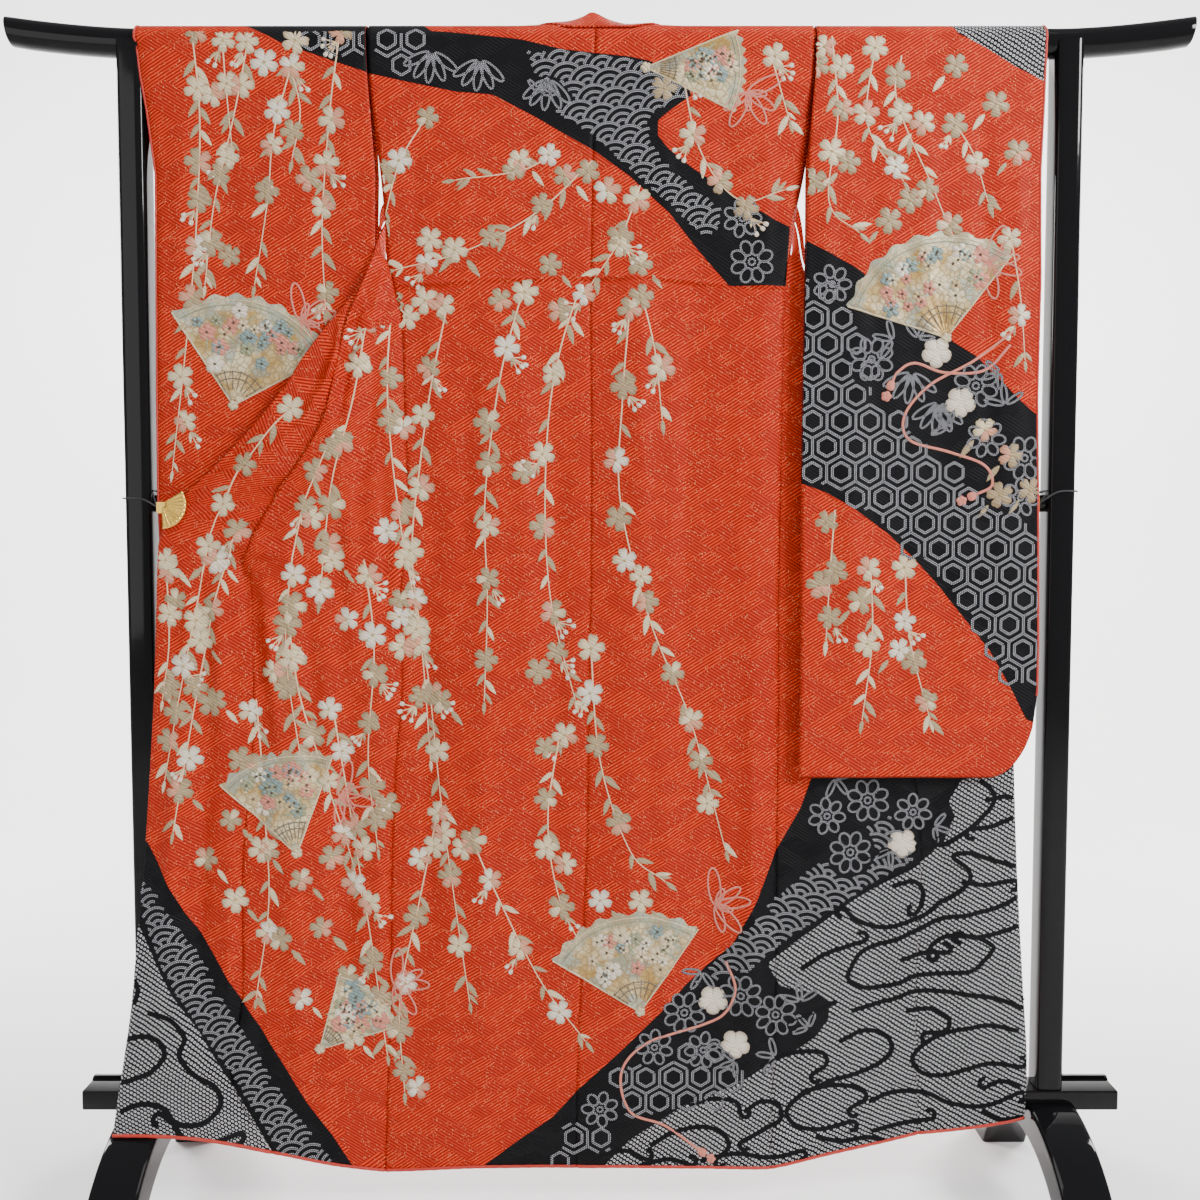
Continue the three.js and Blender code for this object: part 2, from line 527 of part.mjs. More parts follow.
/** The flat rail that joins the feet, with a low lip along the back of each end. */
function baseRail() {
  const half = BASE.length / 2;
  const bottom = BASE.topZ - BASE.height;
  let rail = toManifold(block([-half, -BASE.depth / 2, bottom], [half, BASE.depth / 2, BASE.topZ]));
  for (const side of [-1, 1]) {
    const ends = [side * half, side * (half - BASE_LIP.length)].sort((p, q) => p - q);
    const lip = block([ends[0], BASE.depth / 2 - BASE_LIP.depth, BASE.topZ - 1],
      [ends[1], BASE.depth / 2, BASE.topZ + BASE_LIP.height]);
    rail = rail.add(toManifold(lip));
  }
  return fromManifold(rail);
}

/** An arched foot, notched on top where the base rail is let into it. */
function footSolid(side) {
  const arcPoints = (radius) => {
    const end = Math.acos(-FOOT.centreZ / radius);
    return Array.from({ length: 25 }, (_, i) => {
      const angle = mix(-end, end, i / 24);
      return new THREE.Vector2(radius * Math.sin(angle), FOOT.centreZ + radius * Math.cos(angle));
    });
  };
  const outline = [...arcPoints(FOOT.outerRadius), ...arcPoints(FOOT.innerRadius).reverse()];
  const flat = new THREE.ExtrudeGeometry(new THREE.Shape(outline), { depth: FOOT.width, bevelEnabled: false });
  const place = flat.attributes.position;
  const corners = new Map();
  const points = [];
  const index = Array.from({ length: place.count }, (_, i) => {
    const spot = new THREE.Vector3(
      side * POST.centreX - FOOT.width / 2 + place.getZ(i), place.getX(i), Math.max(place.getY(i), 0));
    const key = spot.toArray().map((value) => value.toFixed(3)).join(',');
    if (!corners.has(key)) {
      corners.set(key, points.length);
      points.push(spot);
    }
    return corners.get(key);
  });
  const half = BASE.length / 2;
  const bottom = BASE.topZ - BASE.height - CLEARANCE;
  const notch = block([-half, -BASE.depth / 2 - CLEARANCE, bottom], [half, BASE.depth / 2 + CLEARANCE, BASE.topZ]);
  return fromManifold(toManifold(solid(points, index)).subtract(toManifold(notch)));
}

// ---------- the garment ----------

function backPanel(sections, folds) {
  const hanging = panelGrid(sections, folds, 2, 11);
  const top = overBeamRows(hanging[hanging.length - 1], -1, 4, neckAngle);
  return wall([...hanging, ...top], CLOTH, sections === BACK_LEFT ? -1 : 1);
}

function frontPanel(sections, folds, side) {
  const hanging = panelGrid(sections, folds, 2, 8);
  const top = overBeamRows(hanging[hanging.length - 1], 1, 4, () => 88);
  return wall([...hanging, ...top], CLOTH, side);
}

function overlapPanel(sections, folds, side) {
  return wall(panelGrid(sections, folds, 2, 6), CLOTH, side);
}

/** The collar is a folded band, so its wall is a little thicker than the panels'. */
function collarBand() {
  return wall(panelGrid(COLLAR, [], 2, 2), COLLAR_CLOTH, -1);
}

/** A sleeve: a loop of cloth up the near side, over the beam, down the far side and back. */
function sleeve(levels, nearFolds) {
  const count = 20;
  const columns = 8;
  const top = levels[levels.length - 1];
  const heights = levels.map((level) => level.z);
  const placeOf = (z) => {
    const row = Math.min(Math.max(heights.findIndex((h) => h > z) - 1, 0), heights.length - 2);
    const last = z >= heights[heights.length - 1] ? heights.length - 2 : row;
    return (last + (z - heights[last]) / (heights[last + 1] - heights[last])) / (heights.length - 1);
  };
  const bottomAt = (u) => {
    const corner = Math.max(u - SLEEVE_BOTTOM.cornerFrom, 0) / (1 - SLEEVE_BOTTOM.cornerFrom);
    return SLEEVE_BOTTOM.height + SLEEVE_BOTTOM.cornerRise * (1 - Math.sqrt(Math.max(1 - corner ** 2, 0)));
  };
  const pointAt = (u, s, layer) => {
    const z = mix(bottomAt(u), top.z, s);
    const t = placeOf(z);
    const x = mix(columnAt(levels, 'inner', t), columnAt(levels, 'outer', t), u);
    const fold = foldDepth(nearFolds, u, s);
    return new THREE.Vector3(x, columnAt(levels, layer, t) - fold, z);
  };
  const overTop = (u, i, steps) => {
    const angle = Math.PI * i / steps;
    const y = -SLEEVE_DRAPE.depth * Math.cos(angle);
    const z = top.z + SLEEVE_DRAPE.height * Math.sin(angle);
    return new THREE.Vector3(mix(top.inner, top.outer, u), y, z);
  };
  const across = (build) => Array.from({ length: columns + 1 }, (_, c) => build(c / columns));
  const rows = [];
  for (let i = 0; i < count; i += 1) rows.push(across((u) => pointAt(u, i / count, 'nearY')));
  for (let i = 0; i <= 8; i += 1) rows.push(across((u) => overTop(u, i, 8)));
  for (let i = count - 1; i >= 0; i -= 1) rows.push(across((u) => pointAt(u, i / count, 'farY')));
  rows.push(across((u) => {
    const near = pointAt(u, 0, 'nearY');
    const far = pointAt(u, 0, 'farY');
    return near.lerp(far, 0.5).add(new THREE.Vector3(0, 0, -3));
  }));
  return wall(rows, CLOTH, top.outer < 0 ? 1 : -1, true);
}

// ---------- the clips and cords ----------

/** A pleated fan of sheet metal that opens from its pivot, flat on the cloth it decorates. */
function fanPlate(centre) {
  const rim = Array.from({ length: 2 * FAN.pleats + 1 }, (_, i) => {
    const angle = radians(mix(FAN.fromAngle, FAN.toAngle, i / (2 * FAN.pleats)));
    return { angle, lift: (i % 2) * FAN.pleatDepth };
  });
  const grid = rim.map(({ angle, lift }) => [FAN.innerRadius, FAN.radius].map((radius, k) => new THREE.Vector3(
    centre.x + radius * Math.cos(angle), centre.y - lift * k, centre.z + radius * Math.sin(angle))));
  return wall(grid, FAN.plate, -1);
}

/** A spring clip: a U of flat metal over the cloth's edge; side is the way its back points. */
function clipSolid(back, side) {
  const [x, y, z] = back;
  const mouth = x - side * CLIP.reach;
  const low = z - CLIP.height / 2;
  const high = z + CLIP.height / 2;
  const ends = (p, q) => [Math.min(p, q), Math.max(p, q)];
  const [jawFrom, jawTo] = ends(x, mouth);
  const [backFrom, backTo] = ends(x, x - side * CLIP.plate);
  const halfGap = CLIP.gap / 2;
  const near = block([jawFrom, y - halfGap - CLIP.plate, low], [jawTo, y - halfGap, high]);
  const far = block([jawFrom, y + halfGap, low], [jawTo, y + halfGap + CLIP.plate, high]);
  const web = block([backFrom, y - halfGap - CLIP.plate, low], [backTo, y + halfGap + CLIP.plate, high]);
  return fromManifold(toManifold(near).add(toManifold(far)).add(toManifold(web)));
}

/** A closed loop of round cord through the given points. */
function cordLoop(points) {
  const path = new THREE.CatmullRomCurve3(points.map((p) => new THREE.Vector3(...p)), true, 'centripetal');
  const count = 36;
  const grid = Array.from({ length: count }, (_, i) => {
    const centre = path.getPointAt(i / count);
    const tangent = path.getTangentAt(i / count);
    const flat = new THREE.Vector3(-tangent.y, tangent.x, 0).normalize();
    const upward = tangent.clone().cross(flat).normalize();
    return Array.from({ length: 6 }, (__, k) => {
      const angle = k / 6 * 2 * Math.PI;
      return centre.clone().addScaledVector(flat, CORD_RADIUS * Math.cos(angle))
        .addScaledVector(upward, CORD_RADIUS * Math.sin(angle));
    });
  });
  const index = [];
  for (let r = 0; r < count; r += 1) {
    for (let k = 0; k < 6; k += 1) {
      const [p, q] = [r * 6 + k, r * 6 + (k + 1) % 6];
      const [t, s] = [((r + 1) % count) * 6 + k, ((r + 1) % count) * 6 + (k + 1) % 6];
      index.push(p, q, s, p, s, t);
    }
  }
  return solid(grid.flat(), index);
}

/** The cord round a post above the rail, drawn to a point on the clip; side is the post's side. */
function tieCord(side, clipX, clipY, clipZ, tieZ) {
  const inside = side * (POST.centreX - POST.width / 2 - 2);
  const outside = side * (POST.centreX + POST.width / 2 + 1.6);
  const depth = POST.depth / 2 + 1.6;
  const overRail = RAIL.centreZ + RAIL.diameter / 2 + 4;
  return cordLoop([
    [side * (Math.abs(clipX) + CORD_RADIUS + 0.4), clipY - 2.4, clipZ + 1.6],
    [side * (POST.centreX - 8), -depth - 2.6, tieZ + 1],
    [outside, -depth + 5, tieZ + 2],
    [outside, depth - 5, tieZ + 4],
    [side * POST.centreX, depth, overRail - 1],
    [inside, depth - 5, overRail],
    [inside, -depth + 5, overRail],
    [side * (Math.abs(clipX) + CORD_RADIUS + 0.4), clipY + 2.4, clipZ - 1.6],
  ]);
}

// ---------- assembly ----------
const part = new THREE.Group();

function add(name, geometry, finish) {
  const mesh = new THREE.Mesh(geometry, new THREE.MeshStandardMaterial(FINISH[finish]));
  mesh.name = name;
  part.add(mesh);
}

const LEFT_CLIP = [-630, -43.5, 1040];
const RIGHT_CLIP = [632, -22, 1046];

add('top_beam', beamSolid(0), 'lacquer');
add('post_left', postSolid(-1), 'lacquer');
add('post_right', postSolid(1), 'lacquer');
add('middle_rail', middleRail(), 'lacquer');
add('base_rail', baseRail(), 'lacquer');
add('foot_left', footSolid(-1), 'lacquer');
add('foot_right', footSolid(1), 'lacquer');

add('back_left', backPanel(BACK_LEFT, BACK_LEFT_FOLDS), 'crepe');
add('back_right', backPanel(BACK_RIGHT, BACK_RIGHT_FOLDS), 'crepe');
add('front_left', frontPanel(FRONT_LEFT, FRONT_LEFT_FOLDS, 1), 'crepe');
add('front_right', frontPanel(FRONT_RIGHT, FRONT_RIGHT_FOLDS, -1), 'crepe');
add('overlap_left', overlapPanel(OVERLAP_LEFT, OVERLAP_LEFT_FOLDS, 1), 'crepe');
add('overlap_right', overlapPanel(OVERLAP_RIGHT, OVERLAP_RIGHT_FOLDS, -1), 'crepe');
add('collar', collarBand(), 'crepe');
add('sleeve_left', sleeve(SLEEVE_LEFT, SLEEVE_LEFT_FOLDS), 'crepe');
add('sleeve_right', sleeve(SLEEVE_RIGHT, SLEEVE_RIGHT_FOLDS), 'crepe');

add('fan_left', fanPlate(new THREE.Vector3(-622, -51.9, 1045)), 'gold');
add('clip_left', clipSolid(LEFT_CLIP, -1), 'gold');
add('clip_right', clipSolid(RIGHT_CLIP, 1), 'gold');
add('tie_left', tieCord(-1, ...LEFT_CLIP, 1052), 'cord');
add('tie_right', tieCord(1, ...RIGHT_CLIP, 1062), 'cord');

export default part;
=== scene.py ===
"""A long-sleeved furisode kimono hung back to front on a black lacquered kimono stand.

All lengths in the tables are millimetres, with +Z up, the back of the garment facing -Y and
+X on the right of someone who looks at that back. Meshes are written in metres.
"""

import logging
import math
from collections.abc import Callable
from dataclasses import dataclass, field
from enum import Enum

import bpy
import numpy as np
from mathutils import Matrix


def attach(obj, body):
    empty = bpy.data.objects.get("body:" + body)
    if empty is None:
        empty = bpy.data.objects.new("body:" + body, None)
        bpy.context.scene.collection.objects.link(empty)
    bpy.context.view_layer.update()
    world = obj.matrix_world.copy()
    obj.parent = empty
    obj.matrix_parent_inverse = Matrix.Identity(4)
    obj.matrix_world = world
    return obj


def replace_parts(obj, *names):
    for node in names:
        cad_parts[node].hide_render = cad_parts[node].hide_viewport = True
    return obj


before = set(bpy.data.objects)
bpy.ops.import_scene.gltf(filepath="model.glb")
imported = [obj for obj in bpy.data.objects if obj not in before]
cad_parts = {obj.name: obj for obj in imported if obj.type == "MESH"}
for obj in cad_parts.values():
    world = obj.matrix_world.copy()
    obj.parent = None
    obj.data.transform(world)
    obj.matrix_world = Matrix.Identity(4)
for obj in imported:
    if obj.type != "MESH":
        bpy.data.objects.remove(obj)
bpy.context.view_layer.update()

Array = np.ndarray
Material = bpy.types.Material
Piece = bpy.types.Object
Fields = dict[str, Array]
Spot = tuple[float, float, float]
Rim = Callable[[Array], Array]
Relief = Callable[[Array, Array], Array]
LOG = logging.getLogger("kimono")
MM = 0.001
ROOT = "root"

# ---------- sizes shared by the cloth and the beam ----------
BEAM_Z = 1702.0
BEAM_DEPTH = 38.0
BEAM_HEIGHT = 41.0
SEAM_GAP = 0.5
DRAPE_RADIUS = 24.0
DRAPE_END = 88.0
SLEEVE_DRAPE = (26.6, 23.4)
NECK_HALF = 97.0
NECK_BACK_ANGLE = 31.0
NECK_OPEN_FROM = 40.0
NECK_EASE = 1.6
NECK_SEAM_ANGLE = 5.0
SLEEVE_BOTTOM = 654.0
SLEEVE_CORNER_RISE = 118.0
SLEEVE_CORNER_FROM = 0.8
SPACING = 5.3
CLOTH = 1.5
COLLAR_CLOTH = 2.4
TUCK = (1338.0, 1376.0)


def table(*rows: list[float]) -> Array:
    """Returns the rows as one array of floats."""
    return np.array(rows, float)


def spots(*numbers: float) -> Array:
    """Returns x, z, x, z and so on as rows of x and z."""
    return np.reshape(np.array(numbers, float), (-1, 2))


def outlines(*lines: tuple[float, ...]) -> tuple[Array, ...]:
    """Returns the rows of x and z of each line of numbers."""
    return tuple(spots(*numbers) for numbers in lines)


def smoothstep(low: float, high: float, x: Array) -> Array:
    """Returns 0 below low, 1 above high and a cubic ease between them."""
    t = np.clip((x - low) / (high - low), 0.0, 1.0)
    return t * t * (3.0 - 2.0 * t)


def at(seam: Array, z: float) -> list[float]:
    """Returns the point of a seam at height z, straight between its rows."""
    return [float(np.interp(z, seam[:, 2], seam[:, k])) for k in (0, 1)] + [z]


def sewn(first: Array, second: Array | None, *rows: list[float]) -> list[list[float]]:
    """Sections whose edges lie on shared seams.

    Args:
        first: the seam of the first edge.
        second: the seam of the second edge, or None where it is free.
        rows: z on the first seam, z on the second or the free edge's x, y, z, then bow and rise.

    Returns:
        Rows with both edges written out.
    """
    return [at(first, row[0]) + (row[1:] if second is None else at(second, row[1]) + row[2:]) for row in rows]


def neck_angle(x: Array) -> Array:
    """Returns the angle in degrees where the back ends on the beam, low at the neck."""
    return NECK_BACK_ANGLE + (DRAPE_END - NECK_BACK_ANGLE) * smoothstep(NECK_OPEN_FROM, NECK_HALF, np.abs(x))


def drape_radius(x: Array) -> Array:
    """Returns the radius of the cloth round the beam, a little looser at the neck."""
    return DRAPE_RADIUS + NECK_EASE * (1.0 - smoothstep(NECK_HALF - 15.0, NECK_HALF + 25.0, np.abs(x)))


def neck_point(x: float) -> list[float]:
    """Returns where the collar's seam stands on the edge of the back's neck."""
    angle = math.radians(float(neck_angle(x)) + NECK_SEAM_ANGLE)
    radius = float(drape_radius(x))
    return [x, -radius * math.cos(angle), BEAM_Z + radius * math.sin(angle)]


# Seams that two panels share, from the hem up: x, y, z.
SIDE_LEFT = table(
    [-318, -31, 62], [-313, -31, 200], [-308, -30, 330], [-304, -29, 540], [-297, -28, 675], [-288, -28, 780],
    [-289, -27, 915], [-279, -26, 1000], [-277, -26, 1060], [-281, -26, 1195], [-284, -26, 1310],
    [-301, -26, 1386])
SIDE_RIGHT = table(
    [252, -31, 66], [254, -31, 200], [257, -30, 330], [257, -29, 540], [258, -28, 770], [257, -27, 907],
    [259, -26, 1050], [260, -26, 1195], [262, -26, 1325], [268, -26, 1388])
OVERLAP_SEAM_LEFT = table(
    [-480, -50, 99], [-520, -48, 160], [-539, -47, 223], [-522, -45, 322], [-517, -45, 540], [-502, -45, 680],
    [-498, -45, 790], [-500, -45, 925])
OVERLAP_SEAM_RIGHT = table(
    [470, -31, 119], [466, -31, 220], [464, -30, 340], [468, -29, 540], [443, -28, 765], [425, -27, 907],
    [396, -25, 1046], [350, -24, 1190], [313, -23, 1325])

# Sections from the hem up: ax, ay, az on the first edge, bx, by, bz on the second, bow, rise.
# An edge that lies on a shared seam is given by its z alone.
BACK_LEFT = table(
    *sewn(SIDE_LEFT, None, [62, -36, -31, 68, 0, 2], [200, -34, -31, 200, 2, 0], [330, -29, -30, 330, 4, 0],
        [540, -20, -29, 540, 6, 0], [675, -18, -28, 675, 6, 0], [780, -17, -28, 780, 6, 0],
        [915, -14, -27, 915, 5, 0], [960, -13, -26, 960, 4, 0], [1000, -13, -26, 1000, 4, 0],
        [1060, -13, -26, 1060, 4, 0], [1195, -13, -26, 1195, 3, 0], [1310, -14, -26, 1310, 3, 0],
        [1386, -13, -26, 1386, 3, 0]),
    [-304, -26, 1450, -12, -26, 1450, 3, 0], [-312, -25, 1535, -10, -25, 1540, 2, 0],
    [-326, -24, 1640, -8, -24, 1640, 0, 0], [-328, -24, 1702, -7, -24, 1702, 0, 0])
BACK_RIGHT = table(
    *sewn(SIDE_RIGHT, None, [66, -36, -31, 68, 0, 0], [200, -34, -31, 200, 2, 0], [330, -29, -30, 330, 4, 0],
        [540, -20, -29, 540, 5, 0], [770, -17, -28, 770, 5, 0], [907, -14, -27, 907, 4, 0],
        [1050, -13, -26, 1050, 4, 0], [1195, -13, -26, 1195, 3, 0], [1325, -14, -26, 1325, 3, 0],
        [1388, -13, -26, 1388, 3, 0]),
    [277, -26, 1460, -12, -26, 1460, 3, 0], [290, -25, 1530, -10, -25, 1540, 2, 0],
    [301, -24, 1645, -8, -24, 1640, 0, 0], [303, -24, 1702, -7, -24, 1702, 0, 0])
FRONT_LEFT = table(
    *sewn(SIDE_LEFT, OVERLAP_SEAM_LEFT, [62, 99, 4, 0], [150, 160, 4, 0], [200, 223, 4, 0], [330, 322, 4, 0],
        [430, 430, 4, 0], [540, 540, 5, 0], [675, 680, 5, 0], [780, 790, 5, 0], [915, 925, 5, 0]),
    *sewn(SIDE_LEFT, None, [960, -500, -48.5, 950, 5, 0], [1000, -506, -49.5, 974, 6, 0],
        [1060, -474, -52, 1035, 6, 0], [1120, -428, -55, 1102, 5, 0], [1195, -392, -55, 1165, 4, 0],
        [1250, -374, -53, 1237, 3, 0], [1310, -357, -51, 1302, 2, 0], [1348, -339, -48, 1347, 1, 0],
        [1386, -323, -43, 1386, 0, 0]),
    [-307, -13, 1402, -311, -16, 1438, 0, 0], [-304, 5, 1446, -291, 8, 1484, 0, 0],
    [-309, 15, 1535, -235, 18, 1565, -5, 0], [-322, 22, 1632, -152, 23, 1640, -3, 0],
    [-328, 24, 1702, -97, 24, 1702, 0, 0])
FRONT_RIGHT = table(
    *sewn(SIDE_RIGHT, OVERLAP_SEAM_RIGHT, [66, 119, 1, 0], [200, 220, 2, 0], [330, 340, 2, 0], [540, 540, 2, 0],
        [770, 765, 1, 0], [907, 907, 1, 0], [988, 985, 1, 0], [1050, 1046, 1, 0], [1122, 1120, 0, 0],
        [1195, 1190, 0, 0], [1262, 1262, 0, 0], [1325, 1325, 0, 0]),
    *sewn(SIDE_RIGHT, None, [1388, 290, -22, 1384, 0, 0]),
    [275, -13, 1408, 281, -10, 1442, 0, 0], [277, 4, 1452, 264, 8, 1486, 0, 0],
    [286, 15, 1535, 215, 18, 1565, -5, 0], [299, 22, 1632, 145, 23, 1640, -3, 0],
    [303, 24, 1702, 97, 24, 1702, 0, 0])
OVERLAP_LEFT = table(
    *sewn(OVERLAP_SEAM_LEFT, None, [99, -695, -95, 146, 14, 15], [160, -691, -83, 195, 9, 6],
        [223, -685, -73, 248, 5, 0], [322, -677, -60, 326, 3, 0], [430, -669, -52, 434, 3, 0],
        [540, -658, -48, 545, 3, 0], [680, -648, -46, 675, 3, 0], [790, -640, -46, 790, 3, 0],
        [925, -634, -46, 925, 3, 0]),
    [-500.5, -44, 950, -632, -46, 960, 3, 0], [-497, -43, 975, -629, -46, 993, 3, 0],
    [-484, -43, 1005, -613, -46, 1032, 3, 0], [-464, -45, 1035, -598, -47, 1052, 3, 0],
    [-442, -46, 1068, -548, -48, 1098, 3, 0], [-414, -46, 1106, -496, -48, 1152, 3, 0],
    [-386, -45, 1152, -447, -48, 1211, 3, 0], [-368, -43, 1202, -423, -47, 1249, 2, 0],
    [-356, -41, 1252, -394, -45, 1288, 1, 0], [-348, -39, 1300, -368, -42, 1319, 0, 0],
    [-337, -36, 1345, -343, -38, 1351, 0, 0], [-326, -34, 1366, -331, -35, 1371, 0, 0])
OVERLAP_RIGHT = table(*sewn(OVERLAP_SEAM_RIGHT, None, [119, 627, -31, 142, 0, -4], [220, 629, -31, 230, 2, 0],
    [340, 621, -30, 345, 2, 0], [540, 608, -29, 545, 2, 0], [765, 600, -28, 765, 1, 0],
    [907, 604, -27, 915, 1, 0], [985, 612, -26, 1010, 1, 0], [1046, 600, -25, 1056, 1, 0],
    [1120, 510, -25, 1140, 0, 0], [1190, 425, -25, 1225, 0, 0], [1262, 362, -24, 1290, 0, 0],
    [1325, 324, -24, 1334, 0, 0]))
COLLAR = table(
    [-598, -41, 1047, -566, -41, 1013, 0, 0], [-545, -42, 1092, -512, -41, 1058, 0, 0],
    [-493, -42, 1147, -460, -41, 1114, 0, 0], [-444, -42, 1206, -410, -40, 1174, 0, 0],
    [-392, -39, 1283, -362, -37, 1252, 0, 0], [-366, -36, 1315, -340, -34, 1288, 0, 0],
    [-341, -33, 1349, -326, -32, 1330, 0, 0], [-325, -32, 1376, -317.5, -31, 1362, 0, 0],
    [-317.5, -28, 1394, -315, -27, 1382, 0, 0], [-315.5, -19, 1424, -313.5, -18, 1413, 0, 0],
    [-312, -9, 1447, -313, -8, 1472, 0, 0], [-290, 8.2, 1487, -272, 11, 1521, 0, 0],
    [-232, 18.5, 1566, -188, 20, 1560, 0, 0], [-150, 23.6, 1641, -107, 26, 1618, 0, 0],
    [-96, 26.4, 1701, -60, 29, 1688, 0, 0], [-94, 12, 1726, -60, 16, 1724, 0, 0],
    [*neck_point(-80), -58, 6, 1732, 0, 0], [*neck_point(-66), -46, 8, 1735, 0, 0],
    [*neck_point(-50), -35, 9, 1738, 0, 0], [*neck_point(-28), -22, 9, 1743, 0, 0],
    [*neck_point(-6), -10, 9, 1748, 0, 0], [*neck_point(24), 12, 9, 1738, 0, 0],
    [*neck_point(48), 32, 8, 1732, 0, 0], [*neck_point(66), 46, 8, 1731, 0, 0],
    [*neck_point(80), 58, 8, 1730, 0, 0], [94, 12, 1726, 60, 16, 1724, 0, 0],
    [96, 26.4, 1701, 60, 29, 1688, 0, 0], [143, 23.6, 1641, 101, 26, 1618, 0, 0],
    [212, 18.5, 1566, 170, 20, 1560, 0, 0], [262, 8.4, 1488, 244, 12, 1522, 0, 0],
    [282, -7, 1447, 282, -4, 1476, 0, 0], [292, -17, 1388, 296, -15, 1374, 0, 0],
    [322, -20, 1331, 305, -19, 1308, 0, 0], [361, -20, 1287, 330, -19, 1256, 0, 0],
    [424, -21, 1221, 391, -20, 1188, 0, 0], [508, -21, 1136, 475, -20, 1102, 0, 0],
    [597, -21, 1053, 565, -20, 1018, 0, 0])

# Sleeve levels: z, inner x, outer x, near y, far y.
SLEEVE_LEFT = table(
    [654, -322, -626, -24, -18], [850, -321, -632, -25, -18], [1047, -320, -638, -25, -17.5],
    [1195, -320, -637, -25, -14], [1363, -321, -634, -26, -4], [1513, -319, -632, -26.5, 9],
    [1604, -325.5, -643, -26.6, 25], [1651, -329, -651, -26.6, 26.3], [1702, -331, -657, -26.6, 26.6])
SLEEVE_RIGHT = table(
    [654, 287, 627, -48, -39], [850, 288, 627, -48, -38], [1047, 287, 623, -48, -37],
    [1195, 288, 619, -47, -36], [1363, 290, 621, -45, -33], [1430, 291, 620, -43, -27],
    [1513, 293, 620, -39, -12], [1600, 299, 625, -33, 8], [1651, 304, 628, -28, 22],
    [1702, 306, 630, -26.6, 26.6])

# Soft folds: u0, u1, width, v0, v1, depth.
FOLDS = {
    "back_left": table([0.16, 0.12, 0.09, 0.0, 0.7, -5], [0.46, 0.5, 0.12, 0.05, 0.85, 4],
        [0.8, 0.78, 0.1, 0.0, 0.75, -4]),
    "back_right": table([0.12, 0.1, 0.08, 0.05, 0.75, 6], [0.4, 0.44, 0.12, 0.0, 0.8, -4],
        [0.78, 0.76, 0.1, 0.05, 0.8, 4]),
    "front_left": table([0.3, 0.42, 0.11, 0.1, 0.72, -8], [0.7, 0.72, 0.1, 0.1, 0.62, 5]),
    "front_right": table([0.3, 0.34, 0.1, 0.02, 0.36, 4], [0.72, 0.7, 0.12, 0.02, 0.34, -3]),
    "overlap_left": table([0.35, 0.5, 0.12, 0.1, 0.5, -5], [0.75, 0.7, 0.1, 0.12, 0.55, 4],
        [0.45, 0.3, 0.12, 0.55, 0.95, 3]),
    "overlap_right": table([0.5, 0.45, 0.14, 0.0, 0.4, 3]),
    "sleeve_left": table([0.3, 0.34, 0.12, 0.4, 0.95, 1.6], [0.86, 0.9, 0.07, 0.3, 0.95, 2]),
    "sleeve_right": table([0.2, 0.3, 0.12, 0.1, 0.9, 3], [0.62, 0.55, 0.14, 0.1, 0.9, -3],
        [0.86, 0.9, 0.07, 0.15, 0.9, 3]),
    "collar": np.zeros((0, 6))}

# Small creases and drapes, laid out seen square on: x0, z0, x1, z1, width, depth.
# A ridge stands towards the viewer by depth and a trough has a negative depth.
CREASES_BODY = table(
    [-332, 1355, -165, 1364, 2.4, 2.4], [-165, 1364, -53, 1368, 2.4, 2.4], [-53, 1368, 60, 1369, 2.4, 2.4],
    [60, 1369, 181, 1358, 2.4, 2.4], [181, 1358, 263, 1354, 2.4, 2.2], [-332, 1350, -165, 1358, 2.4, -2.6],
    [-165, 1358, -53, 1362, 2.4, -2.6], [-53, 1362, 60, 1364, 2.4, -2.6], [60, 1364, 181, 1352, 2.4, -2.6],
    [181, 1352, 263, 1348, 2.4, -2.4], [-254, 1670, -267, 1392, 9, -2], [-184, 1587, -206, 1370, 12, 2.2],
    [-99, 1670, -111, 1392, 14, -2.2], [85, 1628, 102, 1378, 12, 2.2], [169, 1670, 192, 1406, 14, -2.5],
    [240, 1587, 235, 1378, 9, 2.2], [-242, 1335, -230, 1023, 11, 2.8], [-185, 1307, -199, 878, 12, -3],
    [-114, 1335, -104, 762, 15, 2.8], [-57, 1166, -64, 468, 13, -3], [57, 1335, 66, 965, 13, 2.8],
    [128, 1307, 119, 762, 12, -3.2], [199, 1335, 205, 849, 12, 3], [-253, 878, -241, 348, 13, -3.2],
    [-174, 762, -169, 137, 15, 3.2], [-102, 674, -113, 92, 14, -3.2], [87, 878, 100, 198, 14, 3.2],
    [167, 674, 160, 92, 13, -3.5], [220, 849, 222, 137, 10, 3.2], [350, 630, 364, 122, 13, 3.5],
    [408, 586, 420, 137, 11, -3.2], [524, 630, 544, 152, 15, 3], [583, 615, 597, 167, 9, -2.5])
